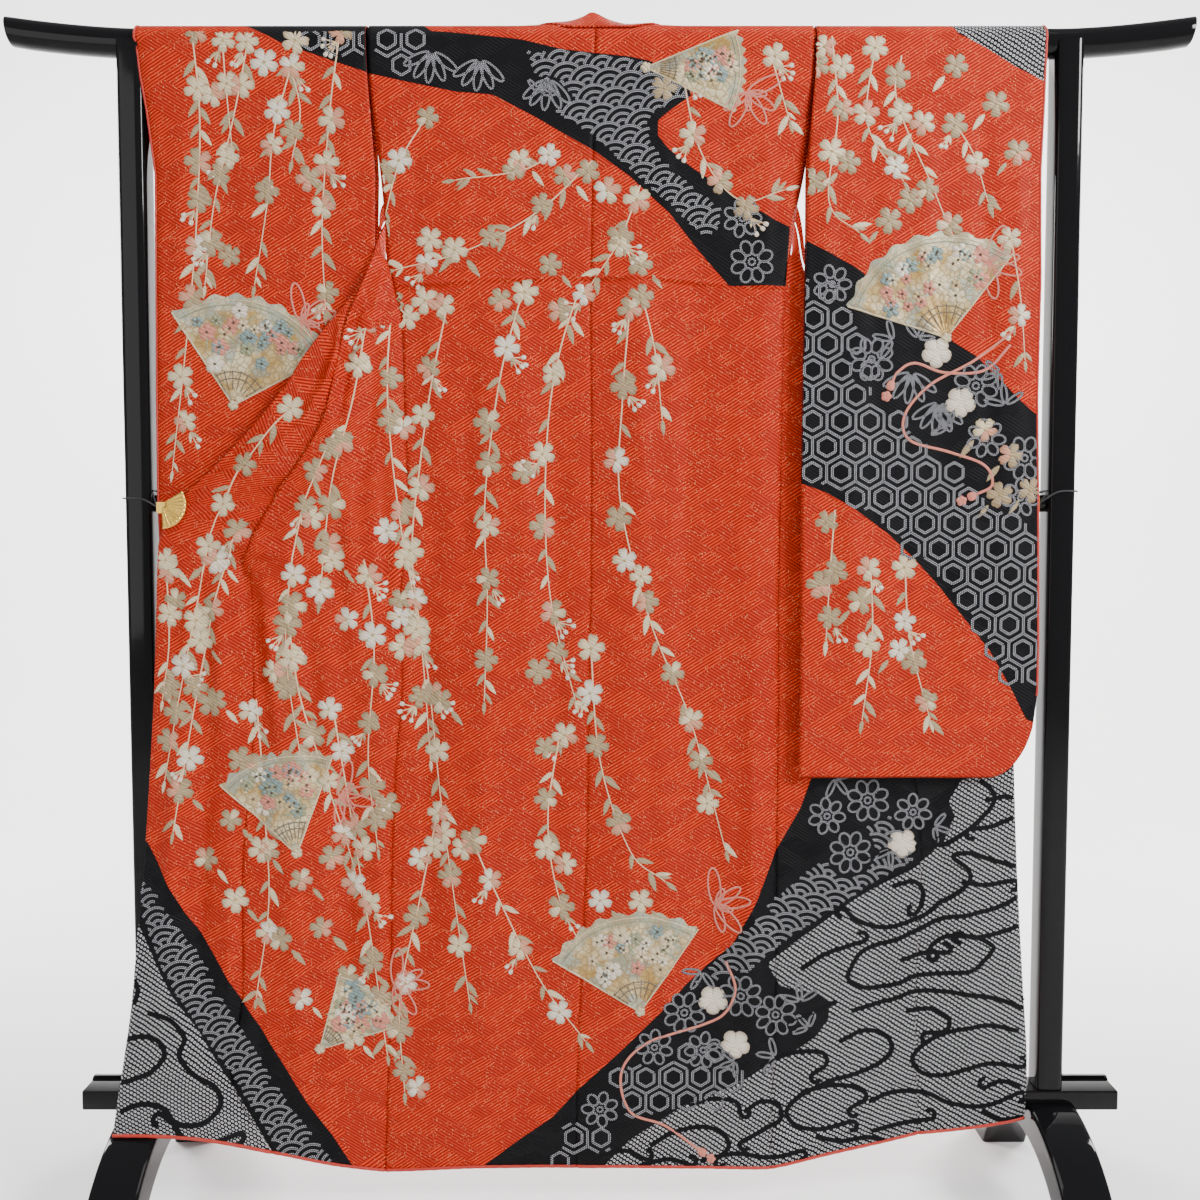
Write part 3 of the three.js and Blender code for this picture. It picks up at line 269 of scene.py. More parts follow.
CREASES_FRONT_LEFT = table(
    [-582, 1044, -425, 1150, 9, 9.4], [-582, 1030, -383, 1093, 11, -7], [-580, 1008, -427, 966, 12, 7.7],
    [-567, 1079, -478, 1158, 6, -5.2], [-425, 1150, -360, 1269, 8, 7.1], [-359, 1331, -393, 1164, 7, 8.8],
    [-340, 1331, -374, 1150, 7, -7.9], [-512, 987, -484, 765, 10, -7.9], [-484, 765, -502, 533, 10, -4.6],
    [-481, 966, -460, 678, 9, 8.8], [-598, 966, -608, 765, 12, -6.1], [-548, 951, -543, 678, 14, 7.7],
    [-427, 966, -406, 591, 14, -7], [-361, 1107, -355, 765, 12, 8.3], [-311, 1164, -309, 851, 8, -5.6],
    [-609, 707, -624, 386, 12, 4.3], [-568, 678, -587, 327, 12, -4.6], [-530, 591, -545, 237, 10, 4],
    [-447, 591, -438, 178, 14, 5], [-374, 678, -364, 237, 14, -5], [-322, 765, -320, 237, 10, 4.3],
    [-497, 327, -494, 148, 8, -4], [-667, 386, -689, 178, 12, 4], [-585, 1051, -496, 1119, 4, 3],
    [-582, 1040, -468, 1082, 4, -3.2], [-580, 1022, -472, 1022, 5, 3], [-583, 1008, -499, 937, 6, -3],
    [-589, 1001, -549, 894, 5, 2.6], [-300, 1392, -321, 1331, 4, 3.4], [-312, 1384, -344, 1315, 4, -3],
    [-292, 1384, -296, 1290, 5, 3], [-302, 1359, -350, 1231, 6, 3.2], [-321, 1337, -381, 1262, 6, -3.4],
    [-287, 1352, -302, 1262, 5, -3])
CREASES_SLEEVE_LEFT = table(
    [-592, 1670, -593, 1336, 12, 2.2], [-533, 1670, -528, 1166, 16, -2.5], [-457, 1684, -472, 1223, 14, 2.5],
    [-395, 1670, -391, 1293, 12, -2.5], [-360, 1643, -356, 1364, 8, 2.2], [-625, 1476, -627, 1166, 6, 1.7])
CREASES_SLEEVE_RIGHT = table(
    [320, 1662, 320, 1220, 13, 2.5], [380, 1580, 399, 966, 16, -3.1], [460, 1662, 459, 1164, 16, 2.8],
    [536, 1635, 558, 1022, 14, -2.8], [590, 1580, 594, 1079, 9, 2.2], [348, 1164, 368, 707, 14, 2.8],
    [434, 1108, 431, 707, 14, -2.8], [515, 1022, 528, 736, 13, 2.5])


# ---------- curves, grids and fields ----------

def unit(vectors: Array) -> Array:
    """Returns the vectors at length one."""
    return vectors / np.maximum(np.linalg.norm(vectors, axis=-1, keepdims=True), 1e-9)


def walked(line: Array) -> Array:
    """Returns how far along a line of points each one is."""
    return np.concatenate(([0], np.cumsum(np.linalg.norm(np.diff(line, axis=0), axis=1))))


def stacked(*numbers: Array) -> Array:
    """Returns points of the given coordinates, each spread to the common shape."""
    return np.stack(np.broadcast_arrays(*numbers), axis=-1)


def heading(angle: Array) -> Array:
    """Returns the direction at an angle in radians, from +X towards +Z."""
    return stacked(np.cos(angle), np.sin(angle))


def spun(points: Array, angle: float) -> Array:
    """Returns x, z rows turned about the origin."""
    cosine, sine = math.cos(angle), math.sin(angle)
    return points @ np.array(((cosine, sine), (-sine, cosine)))


def smooth_curve(knots: Array, t: Array) -> Array:
    """Catmull-Rom curve of tension one half through knots, its ends mirrored.

    Args:
        knots: points, one a row.
        t: places from 0 at the first knot to 1 at the last.

    Returns:
        One point a row for each place.
    """
    count = len(knots) - 1
    padded = np.vstack((2 * knots[:1] - knots[1:2], knots, 2 * knots[-1:] - knots[-2:-1]))
    index = np.clip(np.floor(t * count).astype(int), 0, count - 1)
    w = (t * count - index)[:, None]
    p0, p1, p2, p3 = (padded[index + k] for k in range(4))
    m1, m2 = (p2 - p0) / 2, (p3 - p1) / 2
    return ((2 * p1 - 2 * p2 + m1 + m2) * w + (3 * p2 - 3 * p1 - 2 * m1 - m2)) * w * w + m1 * w + p1


def even_curve(knots: Array, spacing: float) -> tuple[Array, Array]:
    """Points spaced evenly along the smooth curve through knots.

    Args:
        knots: points, one a row.
        spacing: distance between points along the curve.

    Returns:
        The points, and their distance along the curve.
    """
    t = np.linspace(0, 1, 24 * len(knots))
    far = walked(smooth_curve(knots, t))
    along = np.linspace(0, far[-1], max(int(far[-1] / spacing), 2) + 1)
    return smooth_curve(knots, np.interp(along, far, t)), along


def column(rows: Array, k: int, v: Array) -> Array:
    """Returns column k of a table read straight between its rows at v from 0 to 1."""
    return np.interp(v * (len(rows) - 1), np.arange(len(rows)), rows[:, k])


def fold_depth(folds: Array, u: Array, v: Array) -> Array:
    """Height of all folds: a bell across each fold's drifting line, faded at both its ends.

    Args:
        folds: rows of u0, u1, width, v0, v1, depth.
        u: places across, any shape.
        v: places along, same shape.

    Returns:
        Height towards the viewer in millimetres.
    """
    total = np.zeros(np.broadcast(u, v).shape)
    for u0, u1, width, v0, v1, depth in folds:
        along = np.clip((v - v0) / (v1 - v0), 0, 1)
        fade = smoothstep(0, 0.18, along) * (1 - smoothstep(0.75, 1, along))
        total += depth * fade * np.exp(-((u - u0 - (u1 - u0) * along) / width) ** 2)
    return total


def crease_height(creases: Array, x: Array, z: Array) -> Array:
    """Height of small creases: a bell of the distance to each crease's line, thinned at its ends.

    Args:
        creases: rows of x0, z0, x1, z1, width, depth.
        x: places across.
        z: places up.

    Returns:
        Height towards the viewer in millimetres.
    """
    total = np.zeros_like(x)
    for x0, z0, x1, z1, width, depth in creases:
        dx, dz = x1 - x0, z1 - z0
        share = np.clip(((x - x0) * dx + (z - z0) * dz) / (dx * dx + dz * dz), 0, 1)
        away = np.hypot(x - x0 - share * dx, z - z0 - share * dz)
        ends = np.clip(np.sin(np.pi * share), 0, 1) ** 0.6
        total += depth * ends * np.exp(-(away / width) ** 2)
    return total


def drift(x: Array, z: Array, seed: float) -> Array:
    """Returns a slow uneven wave from -1 to 1 that breaks up straight drapes."""
    return (np.sin(x / 47 + seed + 1.3 * np.sin(z / 310 + seed)) * 0.55
            + np.sin(x / 23 - z / 420 + 2.1 * seed) * 0.3
            + np.sin(z / 95 + x / 130 + seed * 3.7) * 0.15)


def polygon_distance(outline: Array, x: Array, z: Array) -> Array:
    """Signed distance to a closed outline, positive inside.

    Each edge gives the distance to its nearest point, and the count of edges crossed on the way
    to +X tells inside from outside.

    Args:
        outline: corners as x, z rows.
        x: places across, any shape.
        z: places up, same shape.

    Returns:
        The signed distances, in the shape of x.
    """
    best = np.full(x.shape, 1e9)
    inside = np.zeros(x.shape, bool)
    for (x0, z0), (x1, z1) in zip(outline, np.roll(outline, -1, axis=0)):
        dx, dz = x1 - x0, z1 - z0
        t = np.clip(((x - x0) * dx + (z - z0) * dz) / max(dx * dx + dz * dz, 1e-9), 0, 1)
        best = np.minimum(best, np.hypot(x - x0 - t * dx, z - z0 - t * dz))
        if z0 != z1:
            inside ^= ((z0 > z) != (z1 > z)) & (x < (z - z0) * dx / dz + x0)
    return np.where(inside, best, -best)


def grid_normals(grid: Array, closed: bool) -> Array:
    """Unit normals of a grid: the step along its rows crossed with the step across them.

    Args:
        grid: points as rows, columns, 3.
        closed: whether the last row joins the first.

    Returns:
        The normals, in the grid's shape.
    """
    along = np.roll(grid, -1, axis=0) - np.roll(grid, 1, axis=0) if closed else np.gradient(grid, axis=0)
    return unit(np.cross(along, np.gradient(grid, axis=1)))


def grid_quads(rows: int, columns: int, closed: bool = False) -> Array:
    """Returns the corner numbers of a grid's quads, the last row joined to the first if closed."""
    r = np.arange(rows if closed else rows - 1)[:, None]
    c = np.arange(columns - 1)[None, :]
    after = (r + 1) % rows
    quads = (r * columns + c, r * columns + c + 1, after * columns + c + 1, after * columns + c)
    return np.stack(quads, axis=-1).reshape(-1, 4)


def halved(quads: Array) -> Array:
    """Returns two triangles for each quad."""
    return np.vstack((quads[:, (0, 1, 2)], quads[:, (0, 2, 3)]))


# ---------- meshes ----------

def make_piece(name: str, points: Array, faces: Array, finishes: list[Material],
               uv: Array | None = None, face_slots: Array | None = None, fields: Fields | None = None,
               face_fields: Fields | None = None) -> Piece:
    """Puts arrays into a mesh object that rides on the only body.

    Args:
        name: the piece's name.
        points: corners in millimetres.
        faces: corner numbers, three or four a face.
        finishes: materials, in slot order.
        uv: one pair a point, in metres.
        face_slots: the material number of each face.
        fields: float attributes with one value a point.
        face_fields: float attributes with one value a face.

    Returns:
        The new object, at the origin, unturned and unscaled.
    """
    mesh = bpy.data.meshes.new(name)
    mesh.from_pydata((points * MM).tolist(), [], faces.tolist())
    for finish in finishes:
        mesh.materials.append(finish)
    corners = np.zeros(len(mesh.loops), np.int32)
    mesh.loops.foreach_get("vertex_index", corners)
    if uv is not None:
        mesh.uv_layers.new(name="cloth").data.foreach_set("uv", uv[corners].astype(np.float32).ravel())
    if face_slots is not None:
        mesh.polygons.foreach_set("material_index", face_slots.astype(np.int32))
    for domain, named in (("POINT", fields or {}), ("FACE", face_fields or {})):
        for key, values in named.items():
            mesh.attributes.new(key, "FLOAT", domain).data.foreach_set("value", values.astype(np.float32))
    mesh.polygons.foreach_set("use_smooth", np.ones(len(mesh.polygons), bool))
    mesh.update()
    piece = bpy.data.objects.new(name, mesh)
    bpy.context.scene.collection.objects.link(piece)
    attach(piece, ROOT)
    LOG.info("%s: %d faces", name, len(faces))
    return piece


def outward(points: Array, faces: Array) -> Array:
    """Returns the faces turned so that the closed shape they bound has a positive volume."""
    a, b, c = (points[faces[:, k]] for k in (0, 1, 2))
    volume = np.einsum("ij,ij->", a, np.cross(b, c))
    if faces.shape[1] == 4:
        volume += np.einsum("ij,ij->", a, np.cross(c, points[faces[:, 3]]))
    return faces if volume > 0 else faces[:, ::-1]


@dataclass
class Shell:
    """A wall of cloth between an outer grid and the same grid set back by its thickness."""

    outer: Array
    thickness: float
    side: int
    closed: bool = False

    def arrays(self) -> tuple[Array, Array, Array]:
        """Outer face, inner face and edges as one closed shape.

        Returns:
            The points, the quads, and each quad's part: 0 outer, 1 inner, 2 edge.
        """
        rows, columns = self.outer.shape[:2]
        inner = self.outer - self.side * self.thickness * grid_normals(self.outer, self.closed)
        points = np.vstack((self.outer.reshape(-1, 3), inner.reshape(-1, 3)))
        quads = grid_quads(rows, columns, self.closed)
        shift = rows * columns
        line = np.arange(rows) * columns
        start, stop = (line, np.roll(line, -1)) if self.closed else (line[:-1], line[1:])
        near = np.concatenate((start, start + columns - 1))
        far = np.concatenate((stop, stop + columns - 1))
        flip = np.repeat((True, False), len(near) // 2)
        rim = np.stack((near, near + shift, far + shift, far), axis=-1)
        parts = [quads, quads[:, ::-1] + shift, np.where(flip[:, None], rim[:, ::-1], rim)]
        if not self.closed:
            across = np.arange(columns - 1)
            for first, turned in ((0, False), ((rows - 1) * columns, True)):
                a, b = first + across, first + across + 1
                end = np.stack((a, a + shift, b + shift, b), axis=-1)
                parts.append(end[:, ::-1] if turned else end)
        faces = np.vstack(parts)
        marks = np.repeat([0, 1] + [2] * (len(parts) - 2), [len(part) for part in parts])
        return points, outward(points, faces), marks.astype(float)


def loft_arrays(rings: Array) -> tuple[Array, Array]:
    """A closed tube through rings of points, each end closed by a fan round its centre.

    Args:
        rings: points as rings, places round the ring, 3.

    Returns:
        The points and the triangles.
    """
    count, around = rings.shape[:2]
    points = np.vstack((rings.reshape(-1, 3), rings[0].mean(axis=0), rings[-1].mean(axis=0)))
    r = np.arange(count - 1)[:, None]
    i = np.arange(around)[None, :]
    j = (i + 1) % around
    side = np.stack((r * around + i, r * around + j, (r + 1) * around + j, (r + 1) * around + i), axis=-1)
    first, last, top = np.full(around, len(points) - 2), np.full(around, len(points) - 1), (count - 1) * around
    faces = np.vstack((halved(side.reshape(-1, 4)), np.stack((first, j[0], i[0]), axis=-1),
                       np.stack((last, i[0] + top, j[0] + top), axis=-1)))
    return points, outward(points, faces)


def tube_arrays(rings: Array) -> tuple[Array, Array]:
    """Returns the points and quads of rings that close on themselves."""
    joined = np.concatenate((rings, rings[:, :1]), axis=1)
    points = joined.reshape(-1, 3)
    return points, outward(points, grid_quads(len(joined), joined.shape[1], True))


# ---------- finishes ----------

@dataclass(frozen=True)
class Value:
    """An output in a material's graph, with the arithmetic of math nodes."""

    graph: "Graph"
    socket: bpy.types.NodeSocket

    def __add__(self, other: "Value | float") -> "Value":
        """Returns the sum."""
        return self.graph.math("ADD", self, other)

    def __sub__(self, other: "Value | float") -> "Value":
        """Returns the difference."""
        return self.graph.math("SUBTRACT", self, other)

    def __mul__(self, other: "Value | float") -> "Value":
        """Returns the product."""
        return self.graph.math("MULTIPLY", self, other)

    def __truediv__(self, other: "Value | float") -> "Value":
        """Returns the quotient."""
        return self.graph.math("DIVIDE", self, other)

    def power(self, exponent: float) -> "Value":
        """Returns the power."""
        return self.graph.math("POWER", self, exponent)

    def rest(self) -> "Value":
        """Returns one less the value."""
        return self.graph.math("SUBTRACT", 1.0, self)

    def floor(self) -> "Value":
        """Returns the whole number at or below."""
        return self.graph.math("FLOOR", self)

    def cell(self) -> "Value":
        """Returns where the value lies between whole numbers, from -0.5 to 0.5."""
        return self.graph.math("FRACT", self) - 0.5

    def folded(self) -> "Value":
        """Returns the value folded to and fro between 0 and 0.5."""
        return self.graph.math("PINGPONG", self, 0.5)

    def above(self, limit: "Value | float") -> "Value":
        """Returns 1 above a limit and 0 elsewhere."""
        return self.graph.math("GREATER_THAN", self, limit)

    def step(self, low: float, high: float) -> "Value":
        """Returns the value eased from 0 at low to 1 at high."""
        return self.graph.out("MapRange", {"Value": self, "From Min": low, "From Max": high}, "Result",
                              interpolation_type="SMOOTHSTEP")


class Graph:
    """A material's node tree with short ways to add and join its nodes."""

    def __init__(self, name: str) -> None:
        """Makes the material and its shader. Args: name: the material's name."""
        self.material = bpy.data.materials.new(name)
        self.material.use_nodes = True
        self.tree = self.material.node_tree
        self.shader = self.tree.nodes["Principled BSDF"]

    def add(self, kind: str, inputs: dict, **settings: object) -> bpy.types.Node:
        """Adds a node.

        Args:
            kind: the node's type without its ShaderNode prefix.
            inputs: numbers, colours or values by input name or number.
            settings: properties of the node.

        Returns:
            The node.
        """
        node = self.tree.nodes.new("ShaderNode" + kind)
        for key, value in settings.items():
            setattr(node, key, value)
        for key, value in inputs.items():
            self.put(node.inputs[key], value)
        return node

    def out(self, kind: str, inputs: dict, output: int | str = 0, **settings: object) -> Value:
        """Returns one output, by name or number, of a node added with those inputs and settings."""
        return Value(self, self.add(kind, inputs, **settings).outputs[output])

    def put(self, socket: bpy.types.NodeSocket, value: Value | float | tuple) -> None:
        """Links a value, or sets a plain number or colour, on an input."""
        if isinstance(value, Value):
            self.tree.links.new(value.socket, socket)
        else:
            socket.default_value = value

    def math(self, kind: str, a: Value | float, b: Value | float = 0.0, c: float = 0.0) -> Value:
        """Returns the result of a math node of that kind on a, b and c."""
        return self.out("Math", {0: a, 1: b, 2: c}, operation=kind)

    def mix(self, share: Value | float, a: Value | tuple, b: Value | tuple) -> Value:
        """Returns the colour that is a where share is 0 and b where it is 1."""
        return self.out("Mix", {0: share, 6: a, 7: b}, 2, data_type="RGBA")

    def split(self, vector: Value) -> tuple[Value, ...]:
        """Returns the three numbers of a vector."""
        return tuple(Value(self, socket) for socket in self.add("SeparateXYZ", {0: vector}).outputs)

    def attribute(self, name: str) -> Value:
        """Returns a float attribute of the mesh."""
        return self.out("Attribute", {}, "Fac", attribute_name=name)

    def place(self, own: str = "Object") -> Value:
        """Returns the Object or UV coordinate."""
        return self.out("TexCoord", {}, own)

    def noise(self, vector: Value, scale: float, detail: float = 2.0) -> Value:
        """Returns a noise from 0 to 1."""
        return self.out("TexNoise", {"Vector": vector, "Scale": scale, "Detail": detail}, "Fac")

    def bump(self, height: Value, distance: float, strength: float = 1.0, normal: Value | None = None) -> Value:
        """Returns a normal bent by a height in the given distance, over a normal where one is given."""
        inputs = {"Height": height, "Distance": distance, "Strength": strength}
        return self.out("Bump", inputs if normal is None else {**inputs, "Normal": normal})

    def finish(self, **sockets: Value | float | tuple) -> Material:
        """Sets the shader's inputs, named with underscores for blanks, and returns the material."""
        for key, value in sockets.items():
            self.put(self.shader.inputs[key.replace("_", " ")], value)
        return self.material


def rgb(red: float, green: float, blue: float) -> tuple[float, float, float, float]:
    """Returns an opaque colour."""
    return (red, green, blue, 1.0)


@dataclass(frozen=True)
class FigureWeave:
    """The key-fret figure woven into the silk: short hatched runs that turn at diamond cells."""

    thread: float = 0.0042
    runs: float = 5.0
    lean: tuple[float, float] = (0.53, 0.85)

    def height(self, graph: Graph) -> Value:
        """Ridges of the hatching, 0 low between ridges and 1 on a ridge; the silk darkens the low parts as painted
        shade.

        Two skewed axes cut the cloth into diamond cells, a random number for each cell chooses
        the axis, and the ridges are that axis folded at the thread pitch.

        Args:
            graph: the material's graph.

        Returns:
            The height.
        """
        across, along, _ = graph.split(graph.place("UV"))
        side, rise = self.lean
        first, second = along * rise + across * side, along * rise - across * side
        corner = [(axis / (self.thread * self.runs)).floor() for axis in (first, second)]
        cell = graph.out("CombineXYZ", {0: corner[0], 1: corner[1]})
        chosen = graph.out("TexWhiteNoise", {"Vector": cell}, "Value", noise_dimensions="3D").above(0.5)
        mixed = graph.out("Mix", {0: chosen, 2: first, 3: second}, data_type="FLOAT")
        # Each cell's ridges are kept whole or lowered at random; through the painted shade of the low parts this
        # makes whole cells lighter or darker, a painted sheen of turned threads.
        return (mixed / self.thread).folded().step(0.10, 0.34) * (chosen * 0.34 + 0.66)


@dataclass(frozen=True)
class TiedDots:
    """Tie-dyed rings in slanting rows."""

    pitch: float = 0.0052
    row: float = 0.0061
    lean: float = math.radians(-33)
    ring: float = 0.00195
    centre: float = 0.0008

    def rings(self, graph: Graph) -> tuple[Value, Value]:
        """White of the rings: near a row's regular points, less a dark centre.

        Args:
            graph: the material's graph.

        Returns:
            The white share and the raised height.
        """
        uv = graph.place("UV")
        across, along, _ = graph.split(uv)
        cosine, sine = math.cos(self.lean), math.sin(self.lean)
        second = along * cosine - across * sine + (graph.noise(uv, 60.0) * 0.004 - 0.002)
        offset = graph.math("MODULO", (second / self.row).floor(), 2.0) * (self.pitch / 2)
        first = across * cosine + along * sine + offset
        x, y = ((axis / step).cell() * step for axis, step in ((first, self.pitch), (second, self.row)))
        away = (graph.math("ABSOLUTE", x).power(3.0) + graph.math("ABSOLUTE", y).power(3.0)).power(1 / 3)
        disc = away.step(self.ring * 0.80, self.ring).rest()
        return disc * away.step(self.centre * 0.6, self.centre * 1.5), disc


@dataclass(frozen=True)
class SilkFinish:
    """The dyed silk: vermilion or black ground, woven figure with painted shade in its hollows, gold specks and
    tied dots.
    """

    vermilion: tuple = rgb(0.80, 0.050, 0.009)
    # darker red: both the uneven dye and the painted shade in the hollows of the woven figure
    deep_dye_and_shade: tuple = rgb(0.25, 0.007, 0.002)
    black: tuple = rgb(0.0035, 0.0035, 0.0045)
    # painted shade in the hollows of the woven figure on the black ground
    groove_shade: tuple = rgb(0.003, 0.003, 0.004)
    speck: tuple = rgb(0.92, 0.40, 0.17)
    undyed: tuple = rgb(0.94, 0.94, 0.95)
    shaded: tuple = rgb(0.50, 0.49, 0.52)

    def build(self, weave: FigureWeave, dots: TiedDots) -> Material:
        """Builds the material, which reads the dye and dots fields in millimetres.

        Args:
            weave: the woven figure.
            dots: the tied dots.

        Returns:
            The material.
        """
        graph = Graph("dyed_silk")
        uv = graph.place("UV")
        ridge = weave.height(graph)
        cloud = graph.noise(uv, 9.0, 3.0)
        ragged = graph.noise(uv, 700.0, 1.0) * 1.6 - 0.8
        black, tied = ((graph.attribute(name) + ragged).step(-0.4, 0.4) for name in ("dye", "dots"))
        cells = graph.add("TexVoronoi", {"Vector": uv, "Scale": 430.0, "Randomness": 1.0}).outputs
        rare = graph.split(Value(graph, cells["Color"]))[0].above(cloud * -0.40 + 0.985)
        near = graph.math("LESS_THAN", Value(graph, cells["Distance"]), 0.30)
        fleck = rare * near * black.rest()
        # Painted shade: where the woven figure is low, the red turns to the darker red and the black to a darker
        # black.
        groove_shade = ridge.rest()
        red = graph.mix(graph.noise(uv, 55.0, 3.0) * 0.5 - 0.08, self.vermilion, self.deep_dye_and_shade)
        red = graph.mix(fleck * 0.75, graph.mix(groove_shade, red, self.deep_dye_and_shade), self.speck)
        ground = graph.mix(black, red, graph.mix(groove_shade, self.black, self.groove_shade))
        white, disc = dots.rings(graph)
        toned = graph.mix(graph.noise(uv, 240.0, 1.0), self.undyed, self.shaded)
        relief = graph.bump(ridge, 0.0008, 0.9)
        relief = graph.bump(disc * tied, 0.0007, 0.7, relief)
        relief = graph.bump(graph.noise(uv, 2600.0, 2.0), 0.0002, 0.35, relief)
        return graph.finish(Base_Color=graph.mix(tied * white, ground, toned), Normal=relief,
                            Roughness=cloud * 0.12 + 0.47 - fleck * 0.28, Specular_IOR_Level=0.14)


@dataclass(frozen=True)
class LiningFinish:
    """Plain silk lining, white above and red near the hem, with a fine crepe grain."""

    white: tuple[tuple, tuple] = (rgb(0.74, 0.71, 0.66), rgb(0.64, 0.61, 0.56))
    red: tuple[tuple, tuple] = (rgb(0.55, 0.035, 0.02), rgb(0.42, 0.025, 0.015))
    red_below: float = 0.52

    def build(self) -> Material:
        """Returns the lining material, its colour changing at a height of the row frame."""
        graph = Graph("silk_lining")
        place = graph.place()
        height = graph.split(place)[2]
        cloud = graph.noise(place, 14.0, 3.0)
        share = height.step(self.red_below + 0.002, self.red_below - 0.002)
        grain = graph.bump(graph.noise(place, 1500.0, 3.0), 0.0003, 0.5)
        grain = graph.bump((height * 900.0).folded(), 0.0002, 0.3, grain)
        return graph.finish(Base_Color=graph.mix(share, graph.mix(cloud, *self.white), graph.mix(cloud, *self.red)),
                            Roughness=cloud * 0.15 + 0.42, Normal=grain)


class Thread(Enum):
    """Embroidery threads: the number that a stitched face carries, and the colour."""

    SILVER = (0.0, rgb(0.36, 0.265, 0.125))
    CREAM = (1.0, rgb(0.80, 0.66, 0.40))
    PINK = (2.0, rgb(0.72, 0.26, 0.15))
    WHITE = (3.0, rgb(0.90, 0.84, 0.68))
    GOLD = (4.0, rgb(0.62, 0.46, 0.20))
    BLUE = (5.0, rgb(0.10, 0.27, 0.30))
    ROSE = (6.0, rgb(0.70, 0.17, 0.12))
    GREEN = (7.0, rgb(0.22, 0.29, 0.15))
    INK = (8.0, rgb(0.02, 0.02, 0.02))

    @property
    def tone(self) -> float:
        """Returns the number."""
        return self.value[0]


@dataclass(frozen=True)
class ThreadFinish:
    """Satin stitch: lustrous threads side by side, laid in bands that catch the light in turn, painted as lighter
    and darker colour.
    """

    band: float = 0.0042
    thread: float = 0.0007
    # pale is the painted highlight and dark the painted shade of the satin bands
    pale: tuple = rgb(0.95, 0.88, 0.68)
    dark: tuple = rgb(0.16, 0.09, 0.04)
    # dark colour of the outline thread at the petal rims, and painted shade where petals meet
    outline: tuple = rgb(0.16, 0.08, 0.035)

    def build(self) -> Material:
        """Builds the embroidery material, which reads the tone of each face and its UV.

        Returns:
            The material.
        """
        graph = Graph("satin_stitch")
        tone = graph.attribute("tone")
        colour = Thread.SILVER.value[1]
        for thread in list(Thread)[1:]:
            colour = graph.mix(graph.math("COMPARE", tone, thread.tone, 0.4), colour, thread.value[1])
        place = graph.place()
        x, _, z = graph.split(place)
        # Painted sheen: diagonal bands, with a noise, lighten the thread colour towards the pale colour and darken
        # it towards the dark one.
        slant = x * 0.5 + z * 0.86 + graph.noise(place, 26.0) * 0.02
        band = (slant / self.band).folded().step(0.1, 0.4)
        lit = band * 0.5 + graph.noise(place, 90.0, 2.0) * 0.5
        colour = graph.mix(lit, graph.mix(0.46, colour, self.dark), graph.mix(0.22, colour, self.pale))
        # The dark outline colour lies at each petal's rim, as outline thread, and where petals meet, as painted
        # shade in the gaps between them.
        turn, away, _ = graph.split(graph.place("UV"))
        between = (turn * 5.0).folded().step(0.075, 0.015)
        rim = graph.math("MAXIMUM", away.power(4.0), between * away)
        relief = graph.bump(((x * 0.8 - z * 0.6) / self.thread).folded(), 0.0003, 0.5)
        relief = graph.bump(band, 0.0003, 0.5, relief)
        return graph.finish(Base_Color=graph.mix(rim * 0.8, colour, self.outline), Metallic=0.08,
                            Roughness=band * -0.14 + 0.44, Normal=relief, Specular_IOR_Level=0.35)


@dataclass(frozen=True)
class DottedFinish:
    """Outlines of small tied dots, two side by side, left white in the black dye."""

    pitch: float = 0.0028
    black: tuple = rgb(0.0035, 0.0035, 0.0045)
    undyed: tuple = rgb(0.62, 0.62, 0.66)

    def build(self) -> Material:
        """Builds the outline material from a ribbon's UV, metres along and 0 to 1 across.

        Returns:
            The material.
        """
        graph = Graph("tied_outline")
        along, across, _ = graph.split(graph.place("UV"))
        lane = across * 2.0
        x, y = (lane.floor() * 0.5 + along / self.pitch).cell(), lane.cell()
        away = graph.math("SQRT", x * x + y * y)
        disc = away.step(0.27, 0.39).rest()
        white = disc * away.step(0.06, 0.16) * (graph.noise(graph.place(), 300.0) * 0.7 + 0.45)
        return graph.finish(Base_Color=graph.mix(white, self.black, self.undyed), Roughness=0.7,
                            Normal=graph.bump(disc, 0.0005, 0.6), Specular_IOR_Level=0.15)


@dataclass(frozen=True)
class PlainFinish:
    """A matt dyed, rolled or wound finish with a little unevenness."""

    name: str
    colour: tuple
    other: tuple
    roughness: float = 0.5
    metal: float = 0.0
    grain: float = 1600.0
    shine: float = 0.5

    def build(self) -> Material:
        """Returns the material: two colours mixed by a fine noise, with a grain."""
        graph = Graph(self.name)
        place = graph.place()
        spread = graph.noise(place, self.grain * 0.12, 3.0)
        relief = graph.bump(graph.noise(place, self.grain, 2.0), 0.0002, 0.5)
        return graph.finish(Base_Color=graph.mix(spread, self.colour, self.other), Metallic=self.metal,
                            Roughness=spread * 0.16 + (self.roughness - 0.08), Normal=relief,
                            Specular_IOR_Level=self.shine)


@dataclass(frozen=True)
class EdgeFinish:
    """The rolled red lining edge."""

    red: tuple[tuple, tuple] = (rgb(0.56, 0.035, 0.018), rgb(0.40, 0.022, 0.012))

    def build(self) -> Material:
        """Returns the rolled edge's material."""
        graph = Graph("rolled_edge")
        place = graph.place()
        cloud = graph.noise(place, 40.0, 3.0)
        grain = graph.bump(graph.noise(place, 1800.0, 2.0), 0.0003, 0.5)
        return graph.finish(Base_Color=graph.mix(cloud, *self.red), Roughness=cloud * 0.2 + 0.45, Normal=grain)


